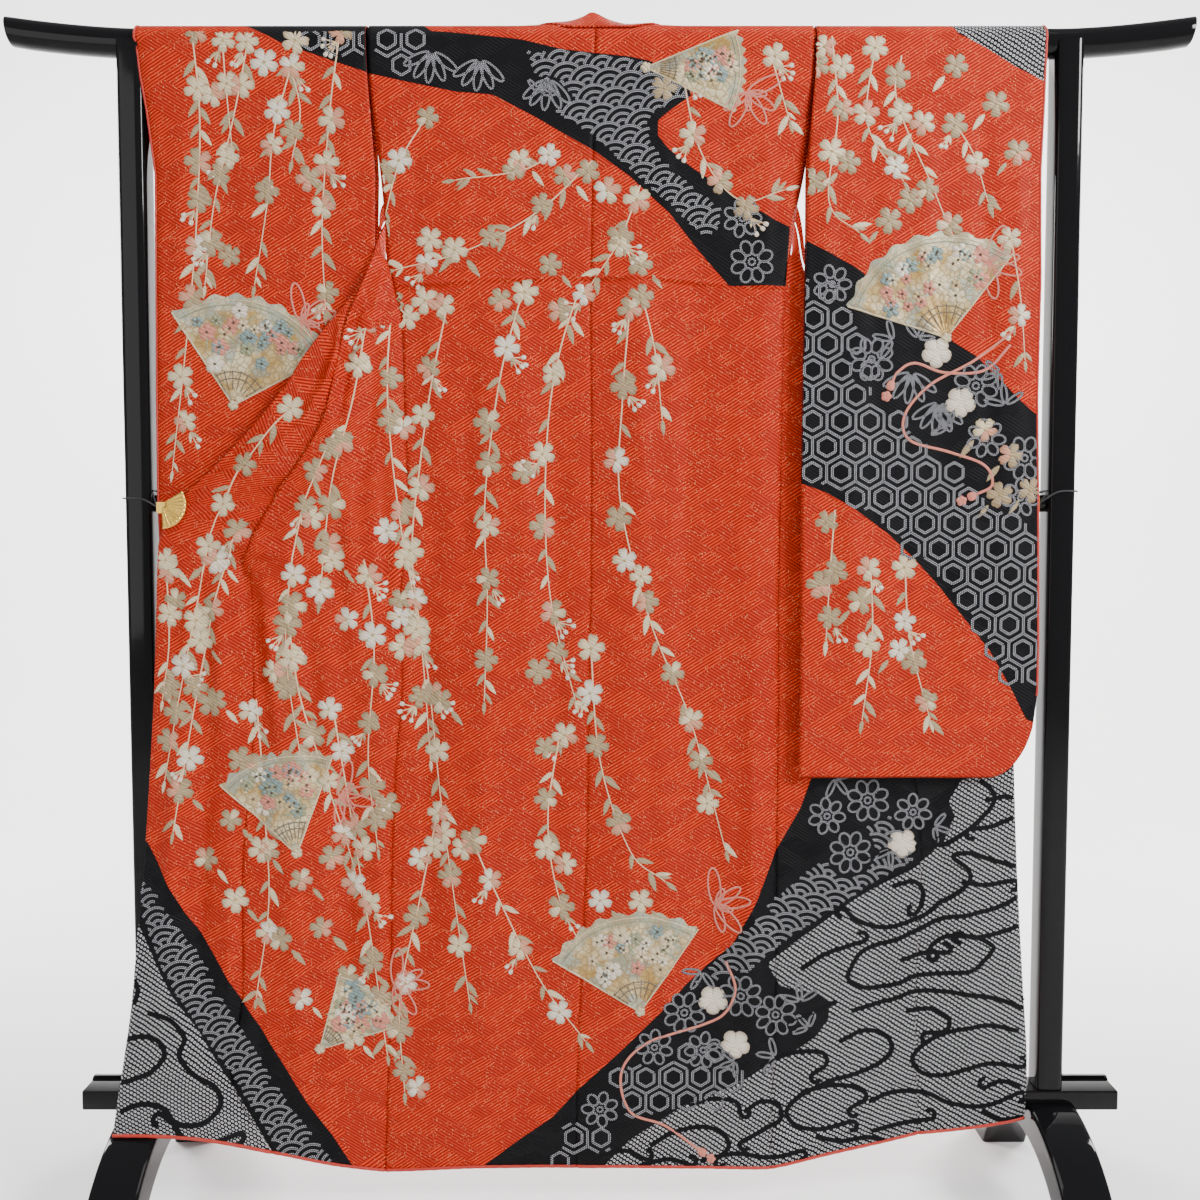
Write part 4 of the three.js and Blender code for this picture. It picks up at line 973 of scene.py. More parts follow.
@dataclass(frozen=True)
class LacquerFinish:
    """Deep black gloss lacquer with a faint ripple and a little dust."""

    black: tuple = rgb(0.0045, 0.0045, 0.005)
    dust: tuple = rgb(0.05, 0.05, 0.05)

    def build(self) -> Material:
        """Returns the lacquer material."""
        graph = Graph("black_lacquer")
        place = graph.place()
        dust = graph.noise(place, 900.0, 4.0).step(0.62, 0.8) * 0.25
        return graph.finish(Base_Color=graph.mix(dust, self.black, self.dust),
                            Roughness=graph.noise(place, 6.0, 4.0) * 0.07 + 0.04,
                            Normal=graph.bump(graph.noise(place, 28.0, 2.0), 0.0006, 0.18),
                            Coat_Weight=0.08, Coat_Roughness=0.04, Specular_IOR_Level=0.16)


@dataclass(frozen=True)
class GoldClothFinish:
    """Gold and silver leaf with woven scrolls in pale gold, for the embroidered fans."""

    leaf: tuple[tuple, tuple] = (rgb(0.44, 0.27, 0.07), rgb(0.72, 0.62, 0.38))
    teal: tuple = rgb(0.20, 0.33, 0.34)
    crackle: tuple = rgb(0.26, 0.15, 0.05)
    rib: tuple = rgb(0.25, 0.18, 0.08)
    rim: tuple = rgb(0.36, 0.40, 0.33)

    def build(self) -> Material:
        """Returns the gold cloth: leaf tones by a cloud, ribs by the fan's own UV."""
        graph = Graph("gold_cloth")
        place = graph.place()
        turn, radius, _ = graph.split(graph.place("UV"))
        cloud = graph.noise(place, 24.0, 4.0)
        scroll = graph.out("TexVoronoi", {"Vector": place, "Scale": 110.0}, feature="DISTANCE_TO_EDGE")
        colour = graph.mix(cloud.step(0.35, 0.65), *self.leaf)
        for share, tone in ((graph.noise(place, 31.0, 2.0).step(0.52, 0.60) * 0.55, self.teal),
                            (graph.math("LESS_THAN", scroll, 0.09) * 0.6, self.crackle),
                            ((turn * 16.0).folded().step(0.05, 0.0) * 0.35, self.rib),
                            (radius.above(0.86) * 0.4, self.rim)):
            colour = graph.mix(share, colour, tone)
        relief = graph.bump(graph.noise(place, 700.0, 3.0), 0.0004, 0.6)
        relief = graph.bump(scroll, 0.0005, 0.4, relief)
        return graph.finish(Base_Color=colour, Metallic=0.25, Roughness=cloud * 0.25 + 0.28, Normal=relief)


@dataclass(frozen=True)
class Finishes:
    """Every finish of the piece, built once."""

    silk: Material
    lining: Material
    edge: Material
    thread: Material
    outline: Material
    gold: Material
    lacquer: Material
    water: Material
    stem: Material
    pink: Material
    gilt: Material
    cord: Material

    @classmethod
    def made(cls) -> "Finishes":
        """Builds the materials.

        Returns:
            All of them.
        """
        plain = (
            PlainFinish("water_line", rgb(0.0035, 0.0035, 0.0045), rgb(0.005, 0.005, 0.006), 0.6, shine=0.12),
            PlainFinish("stem_thread", rgb(0.74, 0.42, 0.24), rgb(0.82, 0.60, 0.36)),
            PlainFinish("pink_couching", rgb(0.54, 0.12, 0.085), rgb(0.68, 0.27, 0.19)),
            PlainFinish("gilt_sheet", rgb(0.83, 0.55, 0.13), rgb(0.70, 0.42, 0.08), 0.26, 1.0, 600.0),
            PlainFinish("tie_cord", rgb(0.012, 0.012, 0.014), rgb(0.03, 0.03, 0.034), 0.7, 0.0, 1200.0))
        return cls(SilkFinish().build(FigureWeave(), TiedDots()), LiningFinish().build(), EdgeFinish().build(),
                   ThreadFinish().build(), DottedFinish().build(), GoldClothFinish().build(),
                   LacquerFinish().build(), *(finish.build() for finish in plain))


# ---------- the garment ----------

@dataclass
class Dyeing:
    """The black areas and the densely tied areas, as outlines seen square on."""

    body_black: tuple[Array, ...]
    body_dots: tuple[Array, ...]
    sleeve_black: tuple[Array, ...]
    sleeve_dots: tuple[Array, ...]
    outside: float = -50.0

    def outlines(self, name: str) -> tuple[tuple[Array, ...], tuple[Array, ...]]:
        """Returns the named piece's black outlines and its dotted outlines."""
        if name == "sleeve_right":
            return self.sleeve_black, self.sleeve_dots
        special = {"collar": ((), ()), "sleeve_left": (self.body_black[:1], ())}
        return special.get(name, (self.body_black, self.body_dots))

    def fields(self, points: Array, name: str) -> Fields:
        """Signed distances into the black dye and the tied dots, positive inside.

        Args:
            points: points of the cloth.
            name: the cloth piece.

        Returns:
            The dye and dots fields, each the largest distance among its outlines.
        """
        made = {}
        for key, outlines in zip(("dye", "dots"), self.outlines(name)):
            made[key] = np.full(len(points), self.outside)
            for outline in outlines:
                made[key] = np.maximum(made[key], polygon_distance(outline, points[:, 0], points[:, 2]))
        return made


@dataclass
class Panel:
    """A body panel, overlap panel or collar band between two edges given section by section.

    A point at (u, v) lies the share u of the way from the first edge's smooth curve to the
    second's, both read at v; its middle is bowed towards the viewer, and folds, creases and
    slow drapes are added along -Y. The last row goes on over the beam where turn isn't 0.
    """

    name: str
    sections: Array
    side: int
    cut: tuple[float, float]
    area: float
    turn: int = 0
    creases: Array = field(default_factory=lambda: CREASES_BODY)
    seed: float = 0.0
    sway: float = 1.0
    thickness: float = CLOTH
    spacing: float = SPACING
    hem: bool = True
    ditch: float = 0.9
    ditch_width: float = 3.4
    fine: tuple[float, float] = (0.0, 0.0)
    finer: float = 4.2
    seen_before: float = -18.0
    calm_over: tuple[float, float] = (1560.0, 1670.0)
    outer: Array = field(init=False, repr=False)
    uv: Array = field(init=False, repr=False)

    def __post_init__(self) -> None:
        """Works out the outer face."""
        self.outer, self.uv = self.surface()

    def surface(self) -> tuple[Array, Array]:
        """The outer face and its cloth coordinates.

        Returns:
            The grid in millimetres, and metres across and along the cloth for each point.
        """
        t = np.linspace(0, 1, 500)
        a, b = (smooth_curve(self.sections[:, k:k + 3], t) for k in (0, 3))
        middle = (a + b) / 2
        far = walked(middle)
        inside = (middle[:, 2] > self.fine[0]) & (middle[:, 2] < self.fine[1])
        effort = np.concatenate(([0], np.cumsum(np.diff(far) * np.where(inside[1:], self.finer, 1.0))))
        v = np.interp(np.arange(0, effort[-1] + self.spacing * 0.5, self.spacing), effort, t)
        v[-1] = 1.0
        columns = max(int(np.linalg.norm(a - b, axis=1).max() / self.spacing), 8) + 1
        a, b = (smooth_curve(self.sections[:, k:k + 3], v) for k in (0, 3))
        span = np.linalg.norm(a - b, axis=1)[:, None]
        trim = SEAM_GAP / 2 / span
        u = trim + (1 - 2 * trim) * np.linspace(0, 1, columns)[None, :]
        grid = a[:, None, :] + (b - a)[:, None, :] * u[..., None]
        arch = 4 * u * (1 - u)
        lift = column(self.sections, 6, v)[:, None] * arch
        lift = lift + fold_depth(FOLDS[self.name], u, np.broadcast_to(v[:, None], u.shape))
        grid[..., 1] -= lift + self.relief(grid, np.minimum(u, 1 - u) * span)
        grid[..., 2] += column(self.sections, 7, v)[:, None] * arch
        across = (u - 0.5) * span * np.sign(np.mean(b[:, 0] - a[:, 0]))
        along = np.broadcast_to(np.interp(v, t, far)[:, None], u.shape)
        if self.turn:
            grid, angled = self.over_beam(grid)
            across = np.vstack((across, np.broadcast_to(across[-1:], angled.shape)))
            along = np.vstack((along, along[-1:] + angled))
        return grid, np.stack((across * MM, along * MM), axis=-1)

    def relief(self, grid: Array, edge: Array) -> Array:
        """Height of creases and slow drapes where they show, less the ditch along each seam.

        Args:
            grid: the points that they stand on.
            edge: distance of each point from the nearer long edge.

        Returns:
            Height towards the viewer in millimetres.
        """
        x, z = grid[..., 0], grid[..., 2]
        shown = (grid[..., 1] < self.seen_before) if self.turn else np.ones(x.shape, bool)
        small = crease_height(self.creases, x, z) * smoothstep(0, 14, edge + 4)
        sway = self.sway * drift(x, z, self.seed) * (0.5 + 1.1 * (1 - smoothstep(150, 1150, z)))
        calm = (1 - smoothstep(*self.calm_over, z)) * shown
        seam = self.ditch * np.exp(-(edge / self.ditch_width) ** 2)
        return (small + sway * smoothstep(0, 26, edge)) * calm - seam

    def over_beam(self, grid: Array, steps: int = 9) -> tuple[Array, Array]:
        """Carries the last row on round the beam.

        Args:
            grid: the panel's points.
            steps: rows to add.

        Returns:
            The longer grid, and how far each new point is along the cloth from the last row.
        """
        share = (np.arange(steps) + 1)[:, None] / steps
        x = grid[-1, :, 0][None, :]
        angle = np.radians(neck_angle(x) if self.turn < 0 else np.full(x.shape, DRAPE_END)) * share
        radius = DRAPE_RADIUS + (drape_radius(x) - DRAPE_RADIUS) * share
        over = stacked(x, self.turn * radius * np.cos(angle), BEAM_Z + radius * np.sin(angle))
        return np.vstack((grid, over)), radius * angle

    def inner(self, more: float = 0.0) -> Array:
        """Returns the outer face set back by the thickness and a little more."""
        return self.outer - self.side * (self.thickness + more) * grid_normals(self.outer, False)

    def build(self, finishes: Finishes, dyeing: Dyeing) -> Piece:
        """Builds the panel as outer cloth, lining and edges, the part behind the beam undyed.

        Args:
            finishes: the materials.
            dyeing: the dyed areas.

        Returns:
            The piece, which replaces its node.
        """
        points, faces, parts = Shell(self.outer, self.thickness, self.side).arrays()
        hidden = np.where((self.turn > 0) & (points[:, 1] > -16) & (points[:, 2] > 1390), dyeing.outside, np.inf)
        back = finishes.silk if self.name == "collar" else finishes.lining
        piece = make_piece("cloth_" + self.name, points, faces, [finishes.silk, back, finishes.silk],
                           np.vstack((self.uv.reshape(-1, 2),) * 2), parts,
                           {key: np.minimum(far, hidden) for key, far in dyeing.fields(points, self.name).items()})
        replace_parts(piece, self.name)
        return piece

    def seam_tape(self, first: bool, finishes: Finishes, dyeing: Dyeing) -> Piece:
        """Builds the seam allowance that backs one of the panel's long seams.

        Args:
            first: whether it is the first edge.
            finishes: the materials.
            dyeing: the dyed areas.

        Returns:
            The strip, dyed like the cloth in front and like the lining behind.
        """
        back = self.inner(0.7)
        shown = back[self.outer[:, 0, 1] < -10] if self.turn else back
        strip = shown[:, :3] if first else shown[:, -3:][:, ::-1]
        past = strip[:, :1] + 0.7 * (strip[:, :1] - strip[:, 1:2]) + (0, 0.8, 0)
        shell = Shell(np.concatenate((past, strip), axis=1), 0.5, self.side if first else -self.side)
        points, faces, parts = shell.arrays()
        return make_piece(f"seam_{self.name}_{int(first)}", points, faces, [finishes.silk, finishes.lining],
                          points[:, (0, 2)] * MM, np.minimum(parts, 1),
                          dyeing.fields(points, self.name))

    def hem_line(self) -> Array:
        """Returns the middle of the bottom edge as points."""
        return (self.outer[0] + self.inner()[0]) / 2


@dataclass
class Sleeve:
    """A long sleeve: one cloth up the near side, over the beam and down the far side.

    The near and far layers' depth and the two edges are read straight between levels; the
    bottom's outer corner rises on a quarter of an ellipse.
    """

    name: str
    levels: Array
    creases: Array
    cut: tuple[float, float]
    area: float
    seed: float = 0.0
    turn_back: float = 0.0
    turn_back_from: float = 0.935
    calm_over: tuple[float, float] = (1560.0, 1680.0)
    over_steps: int = 22
    outer: Array = field(init=False, repr=False)
    uv: Array = field(init=False, repr=False)
    count: int = field(init=False)
    side: int = field(init=False)

    def __post_init__(self) -> None:
        """Works out the outer face."""
        self.side = 1 if self.levels[-1, 2] < 0 else -1
        self.count = int((self.levels[-1, 0] - SLEEVE_BOTTOM) / SPACING)
        self.outer, self.uv = self.surface()

    def surface(self) -> tuple[Array, Array]:
        """The outer face as a closed loop of rows.

        Returns:
            The grid in millimetres, and metres across and along the cloth.
        """
        top, inner, outer = self.levels[-1, :3]
        u = np.linspace(0, 1, int(abs(outer - inner) / SPACING) + 1)[None, :]
        corner = np.clip(u - SLEEVE_CORNER_FROM, 0, 1) / (1 - SLEEVE_CORNER_FROM)
        bottom = SLEEVE_BOTTOM + SLEEVE_CORNER_RISE * (1 - np.sqrt(np.clip(1 - corner ** 2, 0, 1)))
        s = (np.arange(self.count) / self.count)[:, None]
        z = bottom + (top - bottom) * s
        at_z = [np.interp(z, self.levels[:, 0], self.levels[:, k]) for k in range(5)]
        x = at_z[1] + (at_z[2] - at_z[1]) * u
        fold = fold_depth(FOLDS[self.name], u + 0 * s, s + 0 * u)
        calm = 1 - smoothstep(*self.calm_over, z)
        small = crease_height(self.creases, x, z) * calm
        sway = 0.7 * drift(x, z, self.seed) * calm * smoothstep(0, 0.06, np.minimum(u, 1 - u))
        start = self.turn_back_from
        turned = self.turn_back * np.clip((u - start) / (1 - start), 0, 1) ** 1.6
        gutter = 1.1 * np.exp(-((u - start + 0.005) / 0.012) ** 2) * (self.turn_back > 0)
        near = stacked(x, at_z[3] - fold - small - sway + turned + gutter, z)
        far = stacked(x, at_z[4] - fold - 0.4 * sway, z)
        angle = np.pi * np.arange(self.over_steps + 1)[:, None] / self.over_steps
        over = stacked(inner + (outer - inner) * u, -SLEEVE_DRAPE[0] * np.cos(angle),
                       top + SLEEVE_DRAPE[1] * np.sin(angle))
        grid = np.vstack((near, over, far[::-1], ((near[0] + far[0]) / 2 + (0.0, 0.0, -3.0))[None]))
        along = np.vstack((z, top + 25 * angle + 0 * u, 2 * top + 80 - z[::-1], 2 * top + 84 - z[:1]))
        return grid, np.stack((grid[..., 0] * MM, along * MM), axis=-1)

    def layer(self, far: bool) -> Array:
        """Returns the far or the near layer of the outer face."""
        return self.outer[self.count + 20:-1] if far else self.outer[:self.count + 3]

    def cuff_line(self) -> Array:
        """Returns the middle of the outer edge, all the way round."""
        return (self.outer - self.side * CLOTH / 2 * grid_normals(self.outer, True))[:, -1]

    def build(self, finishes: Finishes, dyeing: Dyeing) -> Piece:
        """Builds the sleeve, silk showing a little way in from each open edge.

        Args:
            finishes: the materials.
            dyeing: the dyed areas.

        Returns:
            The piece, which replaces its node.
        """
        points, faces, parts = Shell(self.outer, CLOTH, self.side, True).arrays()
        rows, columns = self.outer.shape[:2]
        place = np.tile(np.arange(columns - 1), rows)
        parts[len(place):2 * len(place)] = np.where((place < 4) | (place > columns - 6), 0, 1)
        piece = make_piece("cloth_" + self.name, points, faces, [finishes.silk, finishes.lining, finishes.edge],
                           np.vstack((self.uv.reshape(-1, 2),) * 2), parts,
                           dyeing.fields(points, self.name))
        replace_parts(piece, self.name)
        return piece


class Surface:
    """The height of the outermost cloth over a raster of the view, for what is worked on it."""

    STEP = 2.5
    MARGIN = 12
    PASSES = 14

    def __init__(self, grids: list[Array], facing: int) -> None:
        """Averages each grid into raster cells and keeps the outermost.

        Args:
            grids: outer faces in millimetres.
            facing: -1 for the side towards -Y, 1 for the side towards +Y.
        """
        self.facing = facing
        every = np.vstack([grid.reshape(-1, 3)[:, (0, 2)] for grid in grids])
        self.corner = every.min(axis=0) - self.MARGIN
        self.shape = tuple(((every.max(axis=0) + self.MARGIN - self.corner) / self.STEP).astype(int) + 2)
        outermost = np.fmin if facing < 0 else np.fmax
        best = np.full(self.shape, np.nan)
        for grid in grids:
            best = outermost(best, self.average(self.finer(grid, 3)))
        self.cloth = ~np.isnan(best)
        self.raster = self.filled(best)

    @staticmethod
    def finer(grid: Array, times: int) -> Array:
        """Returns the grid with straight steps put between its rows and columns."""
        for axis in (0, 1):
            count = grid.shape[axis]
            place = np.linspace(0, count - 1, (count - 1) * times + 1)
            low = np.clip(place.astype(int), 0, count - 2)
            share = np.expand_dims(place - low, (1, 2) if axis == 0 else (0, 2))
            grid = np.take(grid, low, axis) * (1 - share) + np.take(grid, low + 1, axis) * share
        return grid

    def average(self, grid: Array) -> Array:
        """Returns the mean depth of a grid's points in each cell, or nan."""
        points = grid.reshape(-1, 3)
        cells = ((points[:, (0, 2)] - self.corner) / self.STEP + 0.5).astype(int)
        index, size = cells[:, 0] * self.shape[1] + cells[:, 1], self.shape[0] * self.shape[1]
        with np.errstate(invalid="ignore", divide="ignore"):
            mean = np.bincount(index, points[:, 1], minlength=size) / np.bincount(index, minlength=size)
        return mean.reshape(self.shape)

    def filled(self, raster: Array) -> Array:
        """Returns the raster with its gaps filled outwards from their neighbours."""
        for _ in range(self.PASSES):
            empty = np.isnan(raster)
            around = np.stack([np.roll(raster, shift, axis) for axis in (0, 1) for shift in (-1, 1)])
            valid = ~np.isnan(around)
            mean = np.where(valid, around, 0).sum(axis=0) / np.maximum(valid.sum(axis=0), 1)
            raster = np.where(empty & valid.any(axis=0), mean, raster)
        return np.where(np.isnan(raster), np.nanmean(raster), raster)

    def covers(self, flat: Array) -> Array:
        """Returns whether there is cloth at each x, z row."""
        place = ((flat - self.corner) / self.STEP + 0.5).astype(int)
        i, j = np.clip(place, 0, np.array(self.shape) - 1).T
        return self.cloth[i, j]

    def depth(self, flat: Array) -> Array:
        """Returns the cloth's y at each x, z row, read smoothly between cells."""
        place = np.clip((flat - self.corner) / self.STEP, 0, np.array(self.shape) - 1.001)
        (i, j), (a, b) = place.astype(int).T, (place % 1).T
        r = self.raster
        return (r[i, j] * (1 - a) + r[i + 1, j] * a) * (1 - b) + (r[i, j + 1] * (1 - a) + r[i + 1, j + 1] * a) * b


@dataclass
class Worked:
    """Needlework or dyed line work gathered flat, then laid on a surface as one piece."""

    name: str
    surface: Surface
    points: list[Array] = field(default_factory=list)
    faces: list[Array] = field(default_factory=list)
    uv: list[Array] = field(default_factory=list)
    tones: list[Array] = field(default_factory=list)
    count: int = 0

    def add(self, points: Array, faces: Array, uv: Array, tone: float | Array) -> None:
        """Adds flat shapes.

        Args:
            points: x, z and height over the cloth, one row each, turning left seen from outside.
            faces: corner numbers, three a face.
            uv: one pair a point.
            tone: thread tone of each face, or one for all.
        """
        self.points.append(points)
        self.faces.append(faces + self.count)
        self.uv.append(uv)
        self.tones.append(np.broadcast_to(np.asarray(tone, float), (len(faces),)))
        self.count += len(points)

    def ribbon(self, path: Array, width: float, crown: float, tone: float = 0.0, sink: float = 0.25,
               taper: float = 0.0) -> None:
        """Adds a ribbon along a path: two low edges and a raised middle line.

        Args:
            path: x, z rows.
            width: width in millimetres.
            crown: height of the middle line over the cloth.
            tone: thread tone.
            sink: height of the edges, negative to bury them.
            taper: share of the width lost at the far end.
        """
        step = unit(np.gradient(path, axis=0))
        left = np.stack((-step[:, 1], step[:, 0]), axis=1)
        n = len(path)
        half = (width / 2 * (1 - taper * np.linspace(0, 1, n)))[:, None]
        rows = [np.column_stack((path + left * half * k, np.full(n, height)))
                for k, height in ((-1, sink), (0, crown), (1, sink))]
        uv = np.stack((np.repeat(walked(path) * MM, 3), np.tile((0.0, 0.5, 1.0), n)), axis=1)
        self.add(np.stack(rows, axis=1).reshape(-1, 3), halved(grid_quads(n, 3)), uv, tone)

    def shape(self, template: "Template", centre: Array, angle: float, size: float, tone: Array | float,
              height: float = 1.0, flip: bool = False) -> None:
        """Adds a template turned by an angle and scaled.

        Args:
            template: the flat shape at size one.
            centre: x, z of its origin.
            angle: turn in radians, from +X towards +Z.
            size: scale in millimetres.
            tone: tone by the template's parts, or one for all.
            height: scale of its relief.
            flip: mirrored across its own x axis.
        """
        plane = template.points[:, :2] * (1, -1 if flip else 1)
        turned = spun(plane, angle) * size + centre
        faces = template.faces[:, ::-1] if flip else template.faces
        tones = np.asarray(tone, float)[template.parts] if np.ndim(tone) else tone
        self.add(np.column_stack((turned, template.points[:, 2] * height)), faces, template.uv, tones)

    def build(self, finish: Material, slot: str = "silk_crepe") -> Piece | None:
        """Lays everything on the surface and makes the piece.

        Args:
            finish: the material.
            slot: not used.

        Returns:
            The piece, or None where nothing was added.
        """
        if not self.points:
            return None
        flat = np.vstack(self.points)
        facing = self.surface.facing
        y = self.surface.depth(flat[:, :2]) + facing * flat[:, 2]
        faces = np.vstack(self.faces)
        kept = self.surface.covers(flat[:, :2])[faces].all(axis=1)
        faces = faces[kept]
        used, renumbered = np.unique(faces, return_inverse=True)
        faces = renumbered.reshape(-1, 3)
        return make_piece(self.name, np.column_stack((flat[:, 0], y, flat[:, 1]))[used],
                          faces if facing < 0 else faces[:, ::-1], [finish], np.vstack(self.uv)[used],
                          face_fields={"tone": np.concatenate(self.tones)[kept]})


@dataclass(frozen=True)
class Template:
    """A flat shape of unit size: points with a relief height, faces, UV and parts."""

    points: Array
    faces: Array
    uv: Array
    parts: Array


def radial_template(radius: Rim, rings: int, around: int, relief: Relief, parts: int) -> Template:
    """A shape whose points run out from its centre to a rim that is a function of the angle.

    Args:
        radius: function from angles to the rim's distance.
        rings: rings between the centre and the rim.
        around: points round each ring.
        relief: function of angle and share of the way out to height.
        parts: how many equal sectors count as parts.

    Returns:
        The template, its UV the angle's share and the share of the way out.
    """
    turn = np.arange(around) / around * 2 * np.pi
    share = (np.arange(rings) + 1) / rings
    reach = share[:, None] * radius(turn)
    rest = stacked(reach * np.cos(turn), reach * np.sin(turn), relief(turn[None, :], share[:, None]))
    points = np.vstack(((0, 0, float(relief(np.zeros(1), np.zeros(1))[0])), rest.reshape(-1, 3)))
    i = np.arange(around)
    j = (i + 1) % around
    faces = [np.stack((0 * i, 1 + i, 1 + j), axis=1)]
    parted = [i * parts // around]
    for r in range(rings - 1):
        a, b = 1 + r * around, 1 + (r + 1) * around
        faces += [np.stack((a + i, b + i, b + j), axis=1), np.stack((a + i, b + j, a + j), axis=1)]
        parted += [i * parts // around] * 2
    uv = np.vstack(((0, 0), np.stack((np.tile(turn / (2 * np.pi), rings), np.repeat(share, around)), axis=1)))
    return Template(points, np.vstack(faces), uv, np.concatenate(parted))


def petal_rim(count: int, notch: float, waist: float) -> Rim:
    """Returns a rim function: petals as raised sines with a small notch at each tip."""
    def rim(turn: Array) -> Array:
        """Returns the rim's distance at each angle."""
        local = (turn * count / (2 * np.pi)) % 1.0 - 0.5
        return waist + (1 - waist) * np.cos(local * np.pi) ** 0.55 - notch * np.exp(-(local / 0.09) ** 2)
    return rim


def petal_relief(count: int) -> Relief:
    """Returns a relief function: domed petals, low where they meet and at the rim."""
    def relief(turn: Array, share: Array) -> Array:
        """Returns the height at each angle and share of the way out."""
        local = (turn * count / (2 * np.pi)) % 1.0 - 0.5
        dome = np.sin(np.pi * np.clip(share * 0.86 + 0.14, 0, 1)) ** 0.5 * (0.35 + 0.65 * np.cos(local * np.pi))
        return np.where(share > 0.99, -0.2, 0.35 + 1.0 * dome)
    return relief


BLOSSOM = radial_template(petal_rim(5, 0.10, 0.46), 3, 40, petal_relief(5), 5)
PLUM = radial_template(petal_rim(5, 0.0, 0.80), 3, 30, petal_relief(5), 5)
BUD = radial_template(lambda turn: 0.30 + 0.14 * np.cos(turn) ** 3 + 0.08 * np.cos(turn) ** 2, 2, 12,
                      lambda turn, share: np.where(share > 0.99, -0.2, 1.1), 1)


def leaf_template() -> Template:
    """A slender leaf from its stalk to its tip, ridged along its middle.

    Its half width is the sine of the share along, leaned towards the stalk.

    Returns:
        The template, one unit long.
    """
    t = np.linspace(0, 1, 8)
    half = 0.17 * np.sin(np.pi * t ** 0.8) ** 0.9
    rows = [np.stack((t, half * k, np.where(np.abs(k) > 0.9, -0.15, 0.9) + 0 * t), axis=1) for k in (-1, 0, 1)]
    uv = np.stack((np.full(24, 0.1), np.tile((0.95, 0.2, 0.95), 8)), axis=1)
    faces = halved(grid_quads(8, 3))
    return Template(np.stack(rows, axis=1).reshape(-1, 3), faces, uv, np.zeros(len(faces), int))


LEAF = leaf_template()


